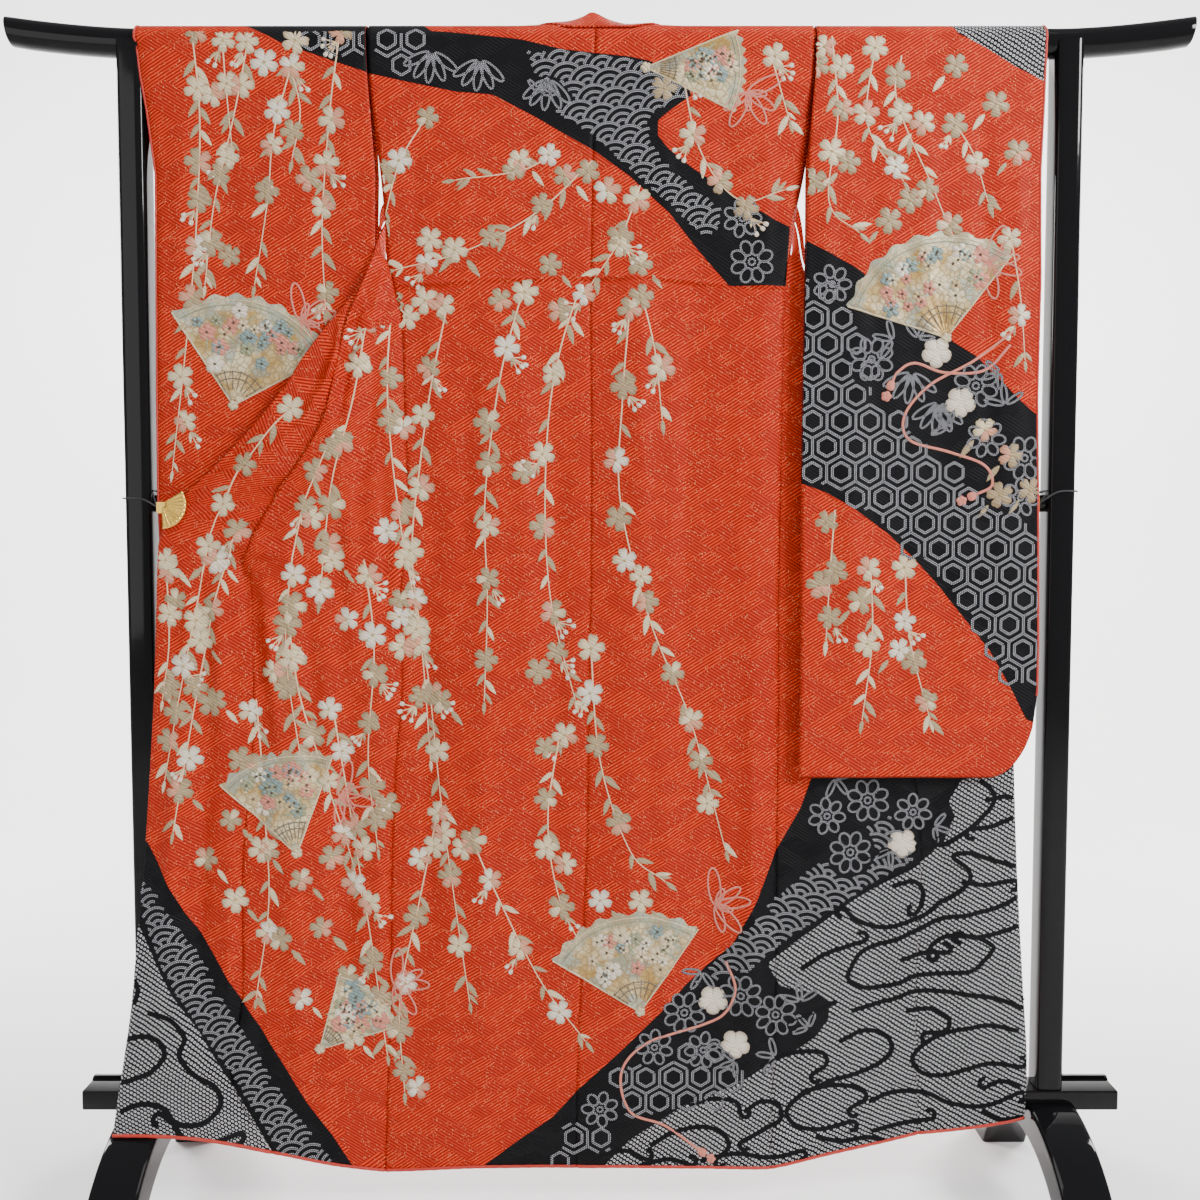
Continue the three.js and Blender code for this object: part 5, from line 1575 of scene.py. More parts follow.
@dataclass
class CherryWork:
    """Weeping cherry: strands of stem thread with blossoms, leaf pairs and hanging buds."""

    surface: Surface
    name: str
    seed: int
    blossom_size: float = 21.0
    leaf_size: float = 29.0
    stems: Worked = field(init=False)
    stitches: Worked = field(init=False)
    rng: np.random.Generator = field(init=False)

    def __post_init__(self) -> None:
        """Starts the two worked pieces."""
        self.stems = Worked("stems_" + self.name, self.surface)
        self.stitches = Worked("blossoms_" + self.name, self.surface)
        self.rng = np.random.default_rng(self.seed)

    def tones(self, lean: float) -> Array:
        """Returns tones for five petals: mostly silver or cream, sometimes pink below."""
        base = self.rng.choice((Thread.SILVER.tone, Thread.CREAM.tone, Thread.WHITE.tone),
                               p=(0.66 - lean * 0.3, 0.24 + lean * 0.18, 0.10 + lean * 0.12))
        tones = np.full(5, base)
        if self.rng.random() < 0.34:
            tones[self.rng.integers(0, 4):][:2] = Thread.PINK.tone
        if self.rng.random() < 0.3:
            tones[self.rng.integers(0, 5)] = Thread.CREAM.tone
        return tones

    def blossom(self, spot: Array, size: float | None = None) -> None:
        """Adds a blossom at a spot, a little smaller or larger than its size."""
        scale = (size or self.blossom_size) * self.rng.uniform(0.88, 1.1)
        angle = np.pi / 2 + self.rng.uniform(-0.5, 0.5)
        self.stitches.shape(BLOSSOM, spot, angle, scale, self.tones(self.rng.random()), self.rng.uniform(0.9, 1.15))
        self.stitches.shape(PLUM, spot, angle, scale * 0.13, Thread.GOLD.tone, 1.9)

    def leaf(self, spot: Array, angle: float, size: float | None = None) -> None:
        """Adds a leaf from a spot at an angle."""
        tone = self.rng.choice((Thread.SILVER.tone, Thread.SILVER.tone, Thread.CREAM.tone))
        self.stitches.shape(LEAF, spot, angle, (size or self.leaf_size) * self.rng.uniform(0.8, 1.15), tone)

    def buds(self, spot: Array, side: float) -> None:
        """Adds a tuft of small leaves with two to four buds on short stalks."""
        for turn in (-0.5, 0.0, 0.55):
            self.leaf(spot, -np.pi / 2 + side * 0.5 + turn, 15.0)
        for k in range(int(self.rng.integers(2, 5))):
            angle = -np.pi / 2 + side * (0.35 + 0.45 * k) + self.rng.uniform(-0.12, 0.12)
            reach = self.rng.uniform(17, 25)
            tip = spot + reach * heading(angle)
            self.stems.ribbon(np.linspace(spot, tip, 4), 1.6, 0.8)
            self.stitches.shape(BUD, tip, angle + np.pi, 12.0, Thread.WHITE.tone)

    def strand(self, knots: Array, blossoms: float, leaves: float, from_share: float = 0.0) -> None:
        """Adds a hanging strand.

        Args:
            knots: x, z of the strand from top to tip.
            blossoms: mean distance between blossoms, 0 for none.
            leaves: mean distance between leaf pairs.
            from_share: share of the strand with no blossoms at its top.
        """
        path, along = even_curve(knots, 5.0)
        self.stems.ribbon(path, 2.3, 1.0, taper=0.35)
        length = along[-1]
        bearing = np.unwrap(np.arctan2(*np.gradient(path, axis=0)[:, ::-1].T))
        where = lambda s: np.array([np.interp(s, along, path[:, k]) for k in (0, 1)])
        facing = lambda s: float(np.interp(s, along, bearing))
        s = length * from_share + self.rng.uniform(8, 20)
        used: list[float] = []
        while blossoms and s < length - 14:
            spot = where(s) + self.rng.normal(0, 4.0, 2)
            self.blossom(spot)
            used.append(s)
            if self.rng.random() < 0.36:
                side = self.rng.choice((-1.0, 1.0))
                self.buds(spot + (side * 7, -15), side)
            if self.rng.random() < 0.24:
                aside = self.rng.choice((-1, 1)) * self.rng.uniform(20, 30)
                self.blossom(spot + (aside, -self.rng.uniform(14, 30)))
            s += blossoms * self.rng.uniform(0.62, 1.4)
        s = self.rng.uniform(10, 24)
        while s < length:
            if not used or np.min(np.abs(np.array(used) - s)) > 17:
                for side in (-1, 1):
                    if self.rng.random() < 0.82:
                        self.leaf(where(s + side * 5), facing(s) + side * self.rng.uniform(0.45, 0.75))
            s += leaves * self.rng.uniform(0.7, 1.35)
        self.leaf(path[-1], facing(length), 22.0)
        self.leaf(where(length - 12), facing(length) + 0.6, 19.0)

    def build(self, finishes: Finishes) -> list[Piece]:
        """Returns the stems and the blossoms as pieces."""
        return [p for p in (self.stems.build(finishes.stem), self.stitches.build(finishes.thread)) if p]


def hook(path: Array, radius: float) -> Array:
    """Returns a small curl that carries on from a path's end, towards the side it bends to."""
    way = unit(path[-1] - path[-2])
    before = path[-2] - path[-4]
    side = 1.0 if before[0] * way[1] - before[1] * way[0] >= 0 else -1.0
    turn = np.linspace(0.5, 3.9, 9)[:, None]
    return path[-1] + radius * (np.sin(turn) * way + (1 - np.cos(turn)) * side * np.array((-way[1], way[0])))


@dataclass
class TiedFigures:
    """Figures drawn in the black dye with lines of tied dots, cut off at their own area."""

    surface: Surface
    name: str
    width: float = 4.6
    finer: float = 0.74
    work: Worked = field(init=False)
    taken: list[tuple[Array, float]] = field(default_factory=list)

    def __post_init__(self) -> None:
        """Starts the worked piece."""
        self.work = Worked("tied_figures_" + self.name, self.surface)

    def line(self, path: Array, area: Array | None, width: float | None = None) -> None:
        """Adds a dotted line, keeping the runs inside an area.

        Args:
            path: x, z rows, evenly spaced.
            area: outline to stay in, or None.
            width: width in millimetres.
        """
        kept = np.ones(len(path), bool)
        if area is not None:
            kept = polygon_distance(area, path[:, 0], path[:, 1]) > 1.5
            for centre, reach in self.taken:
                kept &= np.hypot(*(path - centre).T) > reach
        edges = np.flatnonzero(np.diff(np.concatenate(([0], kept.astype(int), [0]))))
        for start, stop in edges.reshape(-1, 2):
            if stop - start >= 3:
                self.work.ribbon(path[start:stop], width or self.width, 0.75, sink=0.45)

    def loop(self, centre: Array, radii: tuple[float, float], angle: float, area: Array | None,
             sides: int = 0, fine: bool = False) -> None:
        """Adds a closed outline.

        Args:
            centre: x, z of its middle.
            radii: radii of an ellipse, or the polygon's first.
            angle: turn in radians.
            area: outline to stay in, or None.
            sides: sides of a polygon, 0 for an ellipse.
            fine: whether the line is a finer one.
        """
        if sides:
            corners = np.arange(sides + 1) / sides * 2 * np.pi + angle
            ring = heading(corners) * radii[0]
            share = np.linspace(0, sides, 6 * sides + 1)
            path = np.stack([np.interp(share, np.arange(sides + 1), ring[:, k]) for k in (0, 1)], axis=1)
        else:
            turn = np.linspace(0, 2 * np.pi, max(int(sum(radii) * 0.9), 10))
            path = spun(heading(turn) * radii, angle)
        self.line(path + centre, area, self.width * self.finer if fine else None)

    def tortoiseshell(self, area: Array, pitch: float = 40.5) -> None:
        """Fills an area with double hexagons on staggered rows."""
        low, high = area.min(axis=0), area.max(axis=0)
        rise = pitch * math.sqrt(3) / 2 * 1.03
        outer = pitch / math.sqrt(3)
        for row in range(int((high[1] - low[1]) / rise) + 2):
            for place in range(int((high[0] - low[0]) / pitch) + 2):
                centre = low + ((place + 0.5 * (row % 2)) * pitch, row * rise)
                if polygon_distance(area, centre[:1], centre[1:])[0] < -outer:
                    continue
                points = centre + outer * heading(np.radians((-30, 30, 90, 150)))
                for a, b in zip(points[:-1], points[1:]):
                    self.line(np.linspace(a, b, 7), area)
                if polygon_distance(area, centre[:1], centre[1:])[0] > -4:
                    self.loop(centre, (outer * 0.60, 0), np.pi / 6, None, 6)

    def waves(self, area: Array, radius: float = 27.0, lean: float = 0.0) -> None:
        """Fills an area with scales of three arcs, each row covering half of the one above."""
        low, high = area.min(axis=0), area.max(axis=0)
        middle = (low + high) / 2
        reach = float(np.linalg.norm(high - low)) / 2 + radius
        rows, places = int(reach / radius * 2) + 1, int(reach / radius) + 1
        for row in range(-rows, rows + 1):
            for place in range(-places, places + 1):
                spot = np.array(((2 * place + row % 2) * radius, row * radius * 0.5 * 1.04))
                centre = spun(spot, lean) + middle
                if polygon_distance(area, centre[:1], centre[1:] + radius * 0.6)[0] < -radius * 0.4:
                    continue
                for share, spread in ((1.0, 0.98), (0.66, 0.82), (0.33, 0.74)):
                    angles = np.linspace(np.pi / 2 - spread, np.pi / 2 + spread, max(int(radius * share * 0.75), 6))
                    self.line(spun(radius * share * heading(angles), lean) + centre, area)

    def flower(self, centre: tuple[float, float], radius: float, petals: int, turn: float = 0.0) -> None:
        """Adds a flower of looped petals round a small ring."""
        middle = np.array(centre, float)
        self.taken.append((middle, radius + 5))
        for k in range(petals):
            angle = turn + 2 * np.pi * k / petals
            petal = middle + heading(angle) * radius * 0.66
            self.loop(petal, (radius * 0.34, radius * 0.25), angle, None, fine=True)
        self.loop(middle, (radius * 0.15, radius * 0.15), 0.0, None, fine=True)

    def leaves(self, centre: tuple[float, float], length: float, angles: tuple[float, ...]) -> None:
        """Adds slim outlined leaves that spread from a point, given in degrees."""
        root = np.array(centre, float)
        t = np.linspace(0, 2 * np.pi, 22)
        for degrees in angles:
            angle = math.radians(degrees)
            for share in (0.3, 0.8):
                self.taken.append((root + length * share * heading(angle), length * 0.24))
            flat = np.stack((length * (0.55 - 0.45 * np.cos(t)), length * 0.13 * np.sin(t)), axis=1)
            self.line(spun(flat, angle) + root, None, self.width * self.finer)

    def build(self, finishes: Finishes) -> list[Piece]:
        """Returns the figures as a piece."""
        return [p for p in (self.work.build(finishes.outline),) if p]


@dataclass
class GoldFans:
    """Open fans of gold cloth with scattered flowers, a lattice at the foot and pink cords."""

    surface: Surface
    name: str
    seed: int
    leaf: Worked = field(init=False)
    stitches: Worked = field(init=False)
    couching: Worked = field(init=False)
    rng: np.random.Generator = field(init=False)

    def __post_init__(self) -> None:
        """Starts the worked pieces."""
        self.leaf = Worked("fans_" + self.name, self.surface)
        self.stitches = Worked("fan_flowers_" + self.name, self.surface)
        self.couching = Worked("couched_cords_" + self.name, self.surface)
        self.rng = np.random.default_rng(self.seed)

    def fan(self, pivot: tuple[float, float], radius: float, start: float, stop: float) -> None:
        """Adds a fan: a pleated sector, flowers over it, a lattice near its foot and a knob.

        Args:
            pivot: x, z of its rivet.
            radius: length of its ribs.
            start: first rib's angle in degrees.
            stop: last rib's angle in degrees.
        """
        root = np.array(pivot, float)
        angles = np.radians(np.linspace(start, stop, 65))
        share = np.linspace(0.05, 1, 16)
        scallop = 1 + 0.018 * np.cos(np.arange(65) * np.pi / 4)
        reach = radius * share[:, None] * scallop
        pleat = 0.7 + 0.35 * np.abs((np.arange(65) / 4) % 2 - 1) + 0 * share[:, None]
        pleat[-1] = -0.2
        pleat[:, (0, -1)] = -0.2
        points = stacked(root[0] + reach * np.cos(angles), root[1] + reach * np.sin(angles), pleat).reshape(-1, 3)
        uv = np.stack((np.tile(np.linspace(0, 1, 65), 16), np.repeat(share, 65)), axis=1)
        self.leaf.add(points, halved(grid_quads(16, 65))[:, ::-1], uv, Thread.GOLD.tone)
        polar = lambda r, a: root + radius * np.asarray(r)[..., None] * heading(np.radians(a))
        arcs = np.linspace(start + 2, stop - 2, 40)
        for level, tone in ((0.94, Thread.CREAM), (0.90, Thread.GREEN), (0.30, Thread.INK), (0.24, Thread.INK)):
            self.stitches.ribbon(polar(level, arcs), 1.7, 1.9, tone.tone, 1.0)
        for a in np.linspace(start + 5, stop - 5, 7):
            self.stitches.ribbon(polar(np.linspace(0.14, 0.32, 5), a), 1.4, 1.9, Thread.INK.tone, 1.0)
        palette = (Thread.ROSE, Thread.BLUE, Thread.CREAM, Thread.BLUE, Thread.GREEN, Thread.GOLD, Thread.ROSE,
                   Thread.WHITE)
        for k in range(30):
            r = math.sqrt(self.rng.uniform(0.16, 0.74))
            a = self.rng.uniform(start + 8, stop - 8)
            tone = palette[self.rng.integers(0, len(palette))].tone
            spot = polar(r, a)
            if k % 3 == 0:
                self.stitches.shape(LEAF, spot, self.rng.uniform(0, 6.3), 27.0, Thread.GREEN.tone, 1.7)
            self.stitches.shape(BLOSSOM if k % 2 else PLUM, spot, self.rng.uniform(0, 6.3),
                                self.rng.uniform(9, 17), tone, 2.0)
            self.stitches.shape(PLUM, spot, 0.0, 2.6, Thread.INK.tone, 3.4)
        for a in (start, stop):
            self.stitches.ribbon(polar(np.linspace(0.0, 0.99, 16), a), 3.0, 1.9, Thread.CREAM.tone, -0.2)
        self.stitches.shape(PLUM, root, 0.0, 8.5, Thread.CREAM.tone, 2.0)

    def bow(self, spot: tuple[float, float], size: float, lean: float) -> None:
        """Adds a bow of looped pink cords with two short ends."""
        middle = np.array(spot, float)
        t = np.linspace(0, 2 * np.pi, 26)
        for k in range(7):
            angle = lean + (k - 3.0) * 0.5
            way = heading(angle)
            aside = np.array((-way[1], way[0]))
            reach = size * (0.72 + 0.28 * math.sin(k * 2.3))
            out, across = reach * (0.5 - 0.5 * np.cos(t)), reach * 0.16 * np.sin(t)
            self.couching.ribbon(middle + out[:, None] * way + across[:, None] * aside, 2.8, 1.6, sink=0.1)

    def cord(self, knots: Array, tassel: bool = True) -> None:
        """Adds a couched cord along knots, with a tassel at its end."""
        path, _ = even_curve(knots, 5.0)
        self.couching.ribbon(path, 4.0, 1.7, sink=-0.1)
        if tassel:
            way = path[-1] - path[-3]
            angle = math.atan2(way[1], way[0])
            self.couching.shape(BUD, path[-1] + way * 0.6, angle + np.pi, 22.0, 0.0, 1.7)
            self.couching.shape(PLUM, path[-1] + way * 2.0, angle, 8.0, 0.0, 1.7)

    def build(self, finishes: Finishes) -> list[Piece]:
        """Returns the fans, their flowers and the cords as pieces."""
        made = (self.leaf.build(finishes.gold), self.stitches.build(finishes.thread),
                self.couching.build(finishes.pink))
        return [p for p in made if p]


@dataclass
class RolledEdge:
    """The red silk rolled out along a hem or a cuff, a round tube that follows its line."""

    name: str
    radius: float = 2.6
    around: int = 10

    def rings(self, path: Array, closed: bool) -> Array:
        """Circles square to a path.

        Each circle stands on the path's own direction and on the direction square to it that
        is nearest to Y.

        Args:
            path: points along the middle.
            closed: whether the path's end meets its start.

        Returns:
            Rings of points.
        """
        step = unit(np.roll(path, -1, 0) - np.roll(path, 1, 0) if closed else np.gradient(path, axis=0))
        side = np.cross(step, (0.0, 1.0, 0.0))
        weak = np.linalg.norm(side, axis=1, keepdims=True) < 0.25
        side = unit(np.where(weak, np.cross(step, (0.0, 0.0, 1.0)), side))
        up = np.cross(step, side)
        turn = np.arange(self.around) / self.around * 2 * np.pi
        wave = 1 + 0.06 * np.sin(np.arange(len(path)) * 1.7)
        circle = np.cos(turn)[None, :, None] * side[:, None] + np.sin(turn)[None, :, None] * up[:, None]
        return path[:, None] + self.radius * wave[:, None, None] * circle

    def build(self, path: Array, finishes: Finishes, closed: bool = False) -> Piece:
        """Builds the roll along a path.

        Args:
            path: points along its middle.
            finishes: the materials.
            closed: whether it goes all the way round.

        Returns:
            The piece.
        """
        points, faces = (tube_arrays if closed else loft_arrays)(self.rings(path, closed))
        return make_piece(self.name, points, faces, [finishes.edge])


# ---------- the stand ----------

def superellipse(width: float, depth: float, power: float, count: int) -> Array:
    """Returns points round a section with rounded corners."""
    angle = (np.arange(count) + 0.5) / count * 2 * np.pi
    bend = lambda value: np.sign(value) * np.abs(value) ** (2 / power)
    return np.stack((width / 2 * bend(np.cos(angle)), depth / 2 * bend(np.sin(angle))), axis=1)


@dataclass
class Stand:
    """The black lacquered stand: beam, posts, rail, base rail and two arched feet."""

    beam_length: float = 1695.0
    post_x: float = 667.0
    post_width: float = 40.0
    post_depth: float = 46.0
    rail_diameter: float = 25.0
    rail_z: float = 1047.0
    base_length: float = 1534.0
    base_depth: float = 50.0
    base_height: float = 28.7
    base_top: float = 179.2
    lip_length: float = 78.0
    lip_depth: float = 8.0
    lip_height: float = 5.0
    foot_width: float = 70.0
    foot_outer: float = 248.0
    foot_inner: float = 198.0
    foot_centre_z: float = -87.0
    round_over: float = 1.6
    fit: float = 0.3

    def beam(self) -> Array:
        """Rings of the beam, a rounded section whose ends sweep up and are rounded over."""
        section = superellipse(BEAM_DEPTH, BEAM_HEIGHT, 2.2, 48)
        half = self.beam_length / 2
        start = 0.77 * half
        reach = np.concatenate((np.linspace(start, half - self.round_over, 26), np.full(4, half)))
        reach[-4:] = half - self.round_over * (1 - np.sin(np.radians((30, 60, 85, 90))))
        scale = np.ones(len(reach))
        scale[-4:] = 1 - self.round_over / 20 * (1 - np.cos(np.radians((30, 60, 85, 90))))
        x = np.concatenate((-reach[::-1], np.linspace(-start, start, 9)[1:-1], reach))
        scale = np.concatenate((scale[::-1], np.ones(7), scale))
        bend = np.maximum(np.abs(x) - start, 0) / (half - start)
        slant = np.sign(x) * 7.0 * smoothstep(0.8, 1.0, bend)
        flat = section[None] * scale[:, None, None]
        return np.stack((x[:, None] + slant[:, None] * (flat[..., 1] / BEAM_HEIGHT - 0.5), flat[..., 0],
                         BEAM_Z + 17.0 * bend[:, None] ** 1.6 + flat[..., 1]), axis=-1)

    def post(self, side: int) -> Array:
        """Rings of a post from the base rail to the saddle that the beam lies in."""
        section = superellipse(self.post_width, self.post_depth, 5, 48)
        half = BEAM_DEPTH / 2 + self.fit
        under = lambda y: BEAM_Z - np.where(np.abs(y) < half, (BEAM_HEIGHT / 2 + self.fit) * (
            1 - np.clip(np.abs(y) / half, 0, 1) ** 2.2) ** (1 / 2.2), 0)
        low = ((self.base_top + self.fit, 0.95), (self.base_top + 1.6, 1.0), (700.0, 1.0), (1200.0, 1.0))
        rings = []
        for z, scale in (*low, *((None, scale) for scale in (1.0, 0.86, 0.8, 0.7, 0.55, 0.35, 0.15))):
            x, y = (section * scale).T
            rings.append(stacked(side * self.post_x + x, y, under(y) if z is None else z))
        return np.array(rings)

    def rail(self) -> Array:
        """Rings of the round rail between the posts."""
        section = superellipse(self.rail_diameter, self.rail_diameter, 2, 40)
        half = self.post_x - self.post_width / 2 - self.fit
        return stacked(np.linspace(-half, half, 5)[:, None], section[:, 0], self.rail_z + section[:, 1])

    def base_rail(self) -> Array:
        """Rings of the base rail: a bevelled section whose rear lip rises over each end."""
        half, b = self.base_length / 2, self.round_over
        y, top, low = self.base_depth / 2, self.base_top, self.base_top - self.base_height
        inner = half - self.lip_length
        ends = [(half, 1, 1.4), (half - b * 0.3, 1, 0.7), (half - b, 1, 0.0), (inner + 0.6, 1, 0), (inner, 0, 0),
                (inner - 9, 0, 0)]
        rings = []
        for x, up, cut in [(-x, up, cut) for x, up, cut in ends] + ends[::-1]:
            lip = top + up * self.lip_height
            yy, hi, lo = y - cut, top - cut, low + cut
            back = y - self.lip_depth
            outline = ((-yy + b, lo), (-yy + b * 0.3, lo + b * 0.3), (-yy, lo + b), (-yy, hi - b),
                       (-yy + b * 0.3, hi - b * 0.3), (-yy + b, hi), (back - 0.6, hi), (back, hi + 0.01),
                       (back, max(lip - cut - b * 0.5, hi + 0.02)), (back + b * 0.5, max(lip - cut, hi + 0.03)),
                       (yy - b, max(lip - cut, hi)), (yy - b * 0.3, lip - cut - b * 0.3 * up), (yy, lip - cut - b),
                       (yy, lo + b), (yy - b * 0.3, lo + b * 0.3), (yy - b, lo))
            rings.append([(x, p, q) for p, q in outline])
        return np.array(rings, float)

    def foot(self, side: int) -> Array:
        """Rings round a foot's arch, lowered on top where the base rail is let in."""
        section = superellipse(2.0, 2.0, 14, 48)
        across = side * self.post_x + section[:, 0] * self.foot_width / 2
        share = (section[:, 1] + 1) / 2
        outer_end = math.acos(-self.foot_centre_z / self.foot_outer)
        inner_end = math.acos(-self.foot_centre_z / self.foot_inner)
        notch = math.asin((self.base_depth / 2 + self.fit) / self.foot_outer) / outer_end
        floor = self.base_top - self.base_height - self.fit
        spans = ((-1, -notch, 28, False), (-notch, notch, 9, True), (notch, 1, 28, False))
        rings = []
        for t, lowered in [(t, low) for start, stop, count, low in spans for t in np.linspace(start, stop, count)]:
            a, b = t * outer_end, t * inner_end
            radius = (floor - self.foot_centre_z) / math.cos(a) if lowered else self.foot_outer
            top = (radius * math.sin(a), self.foot_centre_z + radius * math.cos(a))
            low = (self.foot_inner * math.sin(b), self.foot_centre_z + self.foot_inner * math.cos(b))
            y = low[0] + (top[0] - low[0]) * share
            z = np.maximum(low[1] + (top[1] - low[1]) * share, 0.0)
            rings.append(np.stack((across, y, z), axis=1))
        return np.array(rings)

    def build(self, finishes: Finishes) -> None:
        """Builds the stand's pieces in their places.

        Args:
            finishes: the materials.
        """
        pieces = {"top_beam": self.beam(), "post_left": self.post(-1), "post_right": self.post(1),
                  "middle_rail": self.rail(), "base_rail": self.base_rail(), "foot_left": self.foot(-1),
                  "foot_right": self.foot(1)}
        for node, rings in pieces.items():
            points, faces = loft_arrays(rings)
            piece = make_piece("lacquered_" + node, points, faces, [finishes.lacquer])
            piece.data.set_sharp_from_angle(angle=math.radians(32))
            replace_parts(piece, node)


@dataclass
class Clips:
    """The two spring clips, the gilt fan on the left one and the cords to the posts."""

    left: Spot = (-630.0, -43.5, 1040.0)
    right: Spot = (632.0, -22.0, 1046.0)
    fan_pivot: Spot = (-622.0, -51.9, 1045.0)
    fan_radius: float = 35.0
    fan_from: float = -89.0
    fan_to: float = 32.0
    pleats: int = 11
    cord: float = 1.2

    def fan(self) -> tuple[Array, Array]:
        """Points and faces of the pleated fan, a thin plate with scalloped rim."""
        steps = self.pleats * 8
        angle = np.radians(np.linspace(self.fan_from, self.fan_to, steps + 1))
        share = np.linspace(5 / self.fan_radius, 1, 7)
        lift = 0.8 - 0.8 * np.cos(np.linspace(0, self.pleats * 2 * np.pi, steps + 1))
        radius = share[:, None] * self.fan_radius
        x, y, z = self.fan_pivot
        grid = stacked(x + radius * np.cos(angle), y - lift * share[:, None], z + radius * np.sin(angle))
        points, faces, _ = Shell(grid, 1.1, 1).arrays()
        return points, faces

    @staticmethod
    def bar(low: Spot, high: Spot, bevel: float = 0.4) -> tuple[Array, Array]:
        """Points and faces of a flat bar with its long edges rounded."""
        low, high = np.array(low), np.array(high)
        size, middle = high - low, (low + high) / 2
        section = superellipse(size[1], size[2], 9, 32)
        inset = ((-0.5, 1 - 2 * bevel / size[2]), (-0.5 + bevel / size[0], 1.0), (0.5 - bevel / size[0], 1.0),
                 (0.5, 1 - 2 * bevel / size[2]))
        rings = [np.stack((middle[0] + s * size[0] + 0 * section[:, 0], middle[1] + section[:, 0] * k,
                           middle[2] + section[:, 1] * k), axis=1) for s, k in inset]
        return loft_arrays(np.array(rings))

    def clip(self, back: Spot, side: int) -> tuple[Array, Array]:
        """Points and faces of a clip: two jaws and the web that joins them."""
        x, y, z = back
        ends = sorted((x, x - side * 30.0))
        web = sorted((x, x - side * 1.2))
        boxes = (((ends[0], y - 6.8, z - 8), (ends[1], y - 5.6, z + 8)),
                 ((ends[0], y + 5.6, z - 8), (ends[1], y + 6.8, z + 8)),
                 ((web[0], y - 6.4, z - 7.6), (web[1], y + 6.4, z + 7.6)))
        points, faces, count = [], [], 0
        for low, high in boxes:
            p, f = self.bar(low, high)
            points.append(p)
            faces.append(f + count)
            count += len(p)
        return np.vstack(points), np.vstack(faces)

    def loop(self, side: int, clip: Spot, tie_z: float) -> Array:
        """Middle line of the cord that goes round a post and to the clip's back."""
        x, y, z = clip
        inside, outside = side * 645.0, side * 688.6
        depth, rail = 24.6, 1063.5
        near = side * (abs(x) + self.cord + 0.4)
        return np.array((
            (near, y - 2.4, z + 1.6), (side * 659, -depth - 2.6, tie_z + 1), (outside, -depth + 5, tie_z + 2),
            (outside, depth - 5, tie_z + 4), (side * 667, depth, rail - 1), (inside, depth - 5, rail),
            (inside, -depth + 5, rail), (near, y + 2.4, z - 1.6)))

    def build(self, finishes: Finishes) -> None:
        """Builds the clips, the fan and the ties.

        Args:
            finishes: the materials.
        """
        points, faces = self.fan()
        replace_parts(make_piece("gilt_fan", points, faces, [finishes.gilt]), "fan_left")
        for node, back, side in (("clip_left", self.left, -1), ("clip_right", self.right, 1)):
            points, faces = self.clip(back, side)
            piece = make_piece("gilt_" + node, points, faces, [finishes.gilt])
            piece.data.set_sharp_from_angle(angle=math.radians(35))
            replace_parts(piece, node)
        for node, side, clip, tie in (("tie_left", -1, self.left, 1052.0), ("tie_right", 1, self.right, 1062.0)):
            knots = self.loop(side, clip, tie)
            path, _ = even_curve(np.vstack((knots, knots[:1])), 3.0)
            points, faces = tube_arrays(RolledEdge(node, self.cord, 10).rings(path[:-1], True))
            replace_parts(make_piece("cord_" + node, points, faces, [finishes.cord]), node)


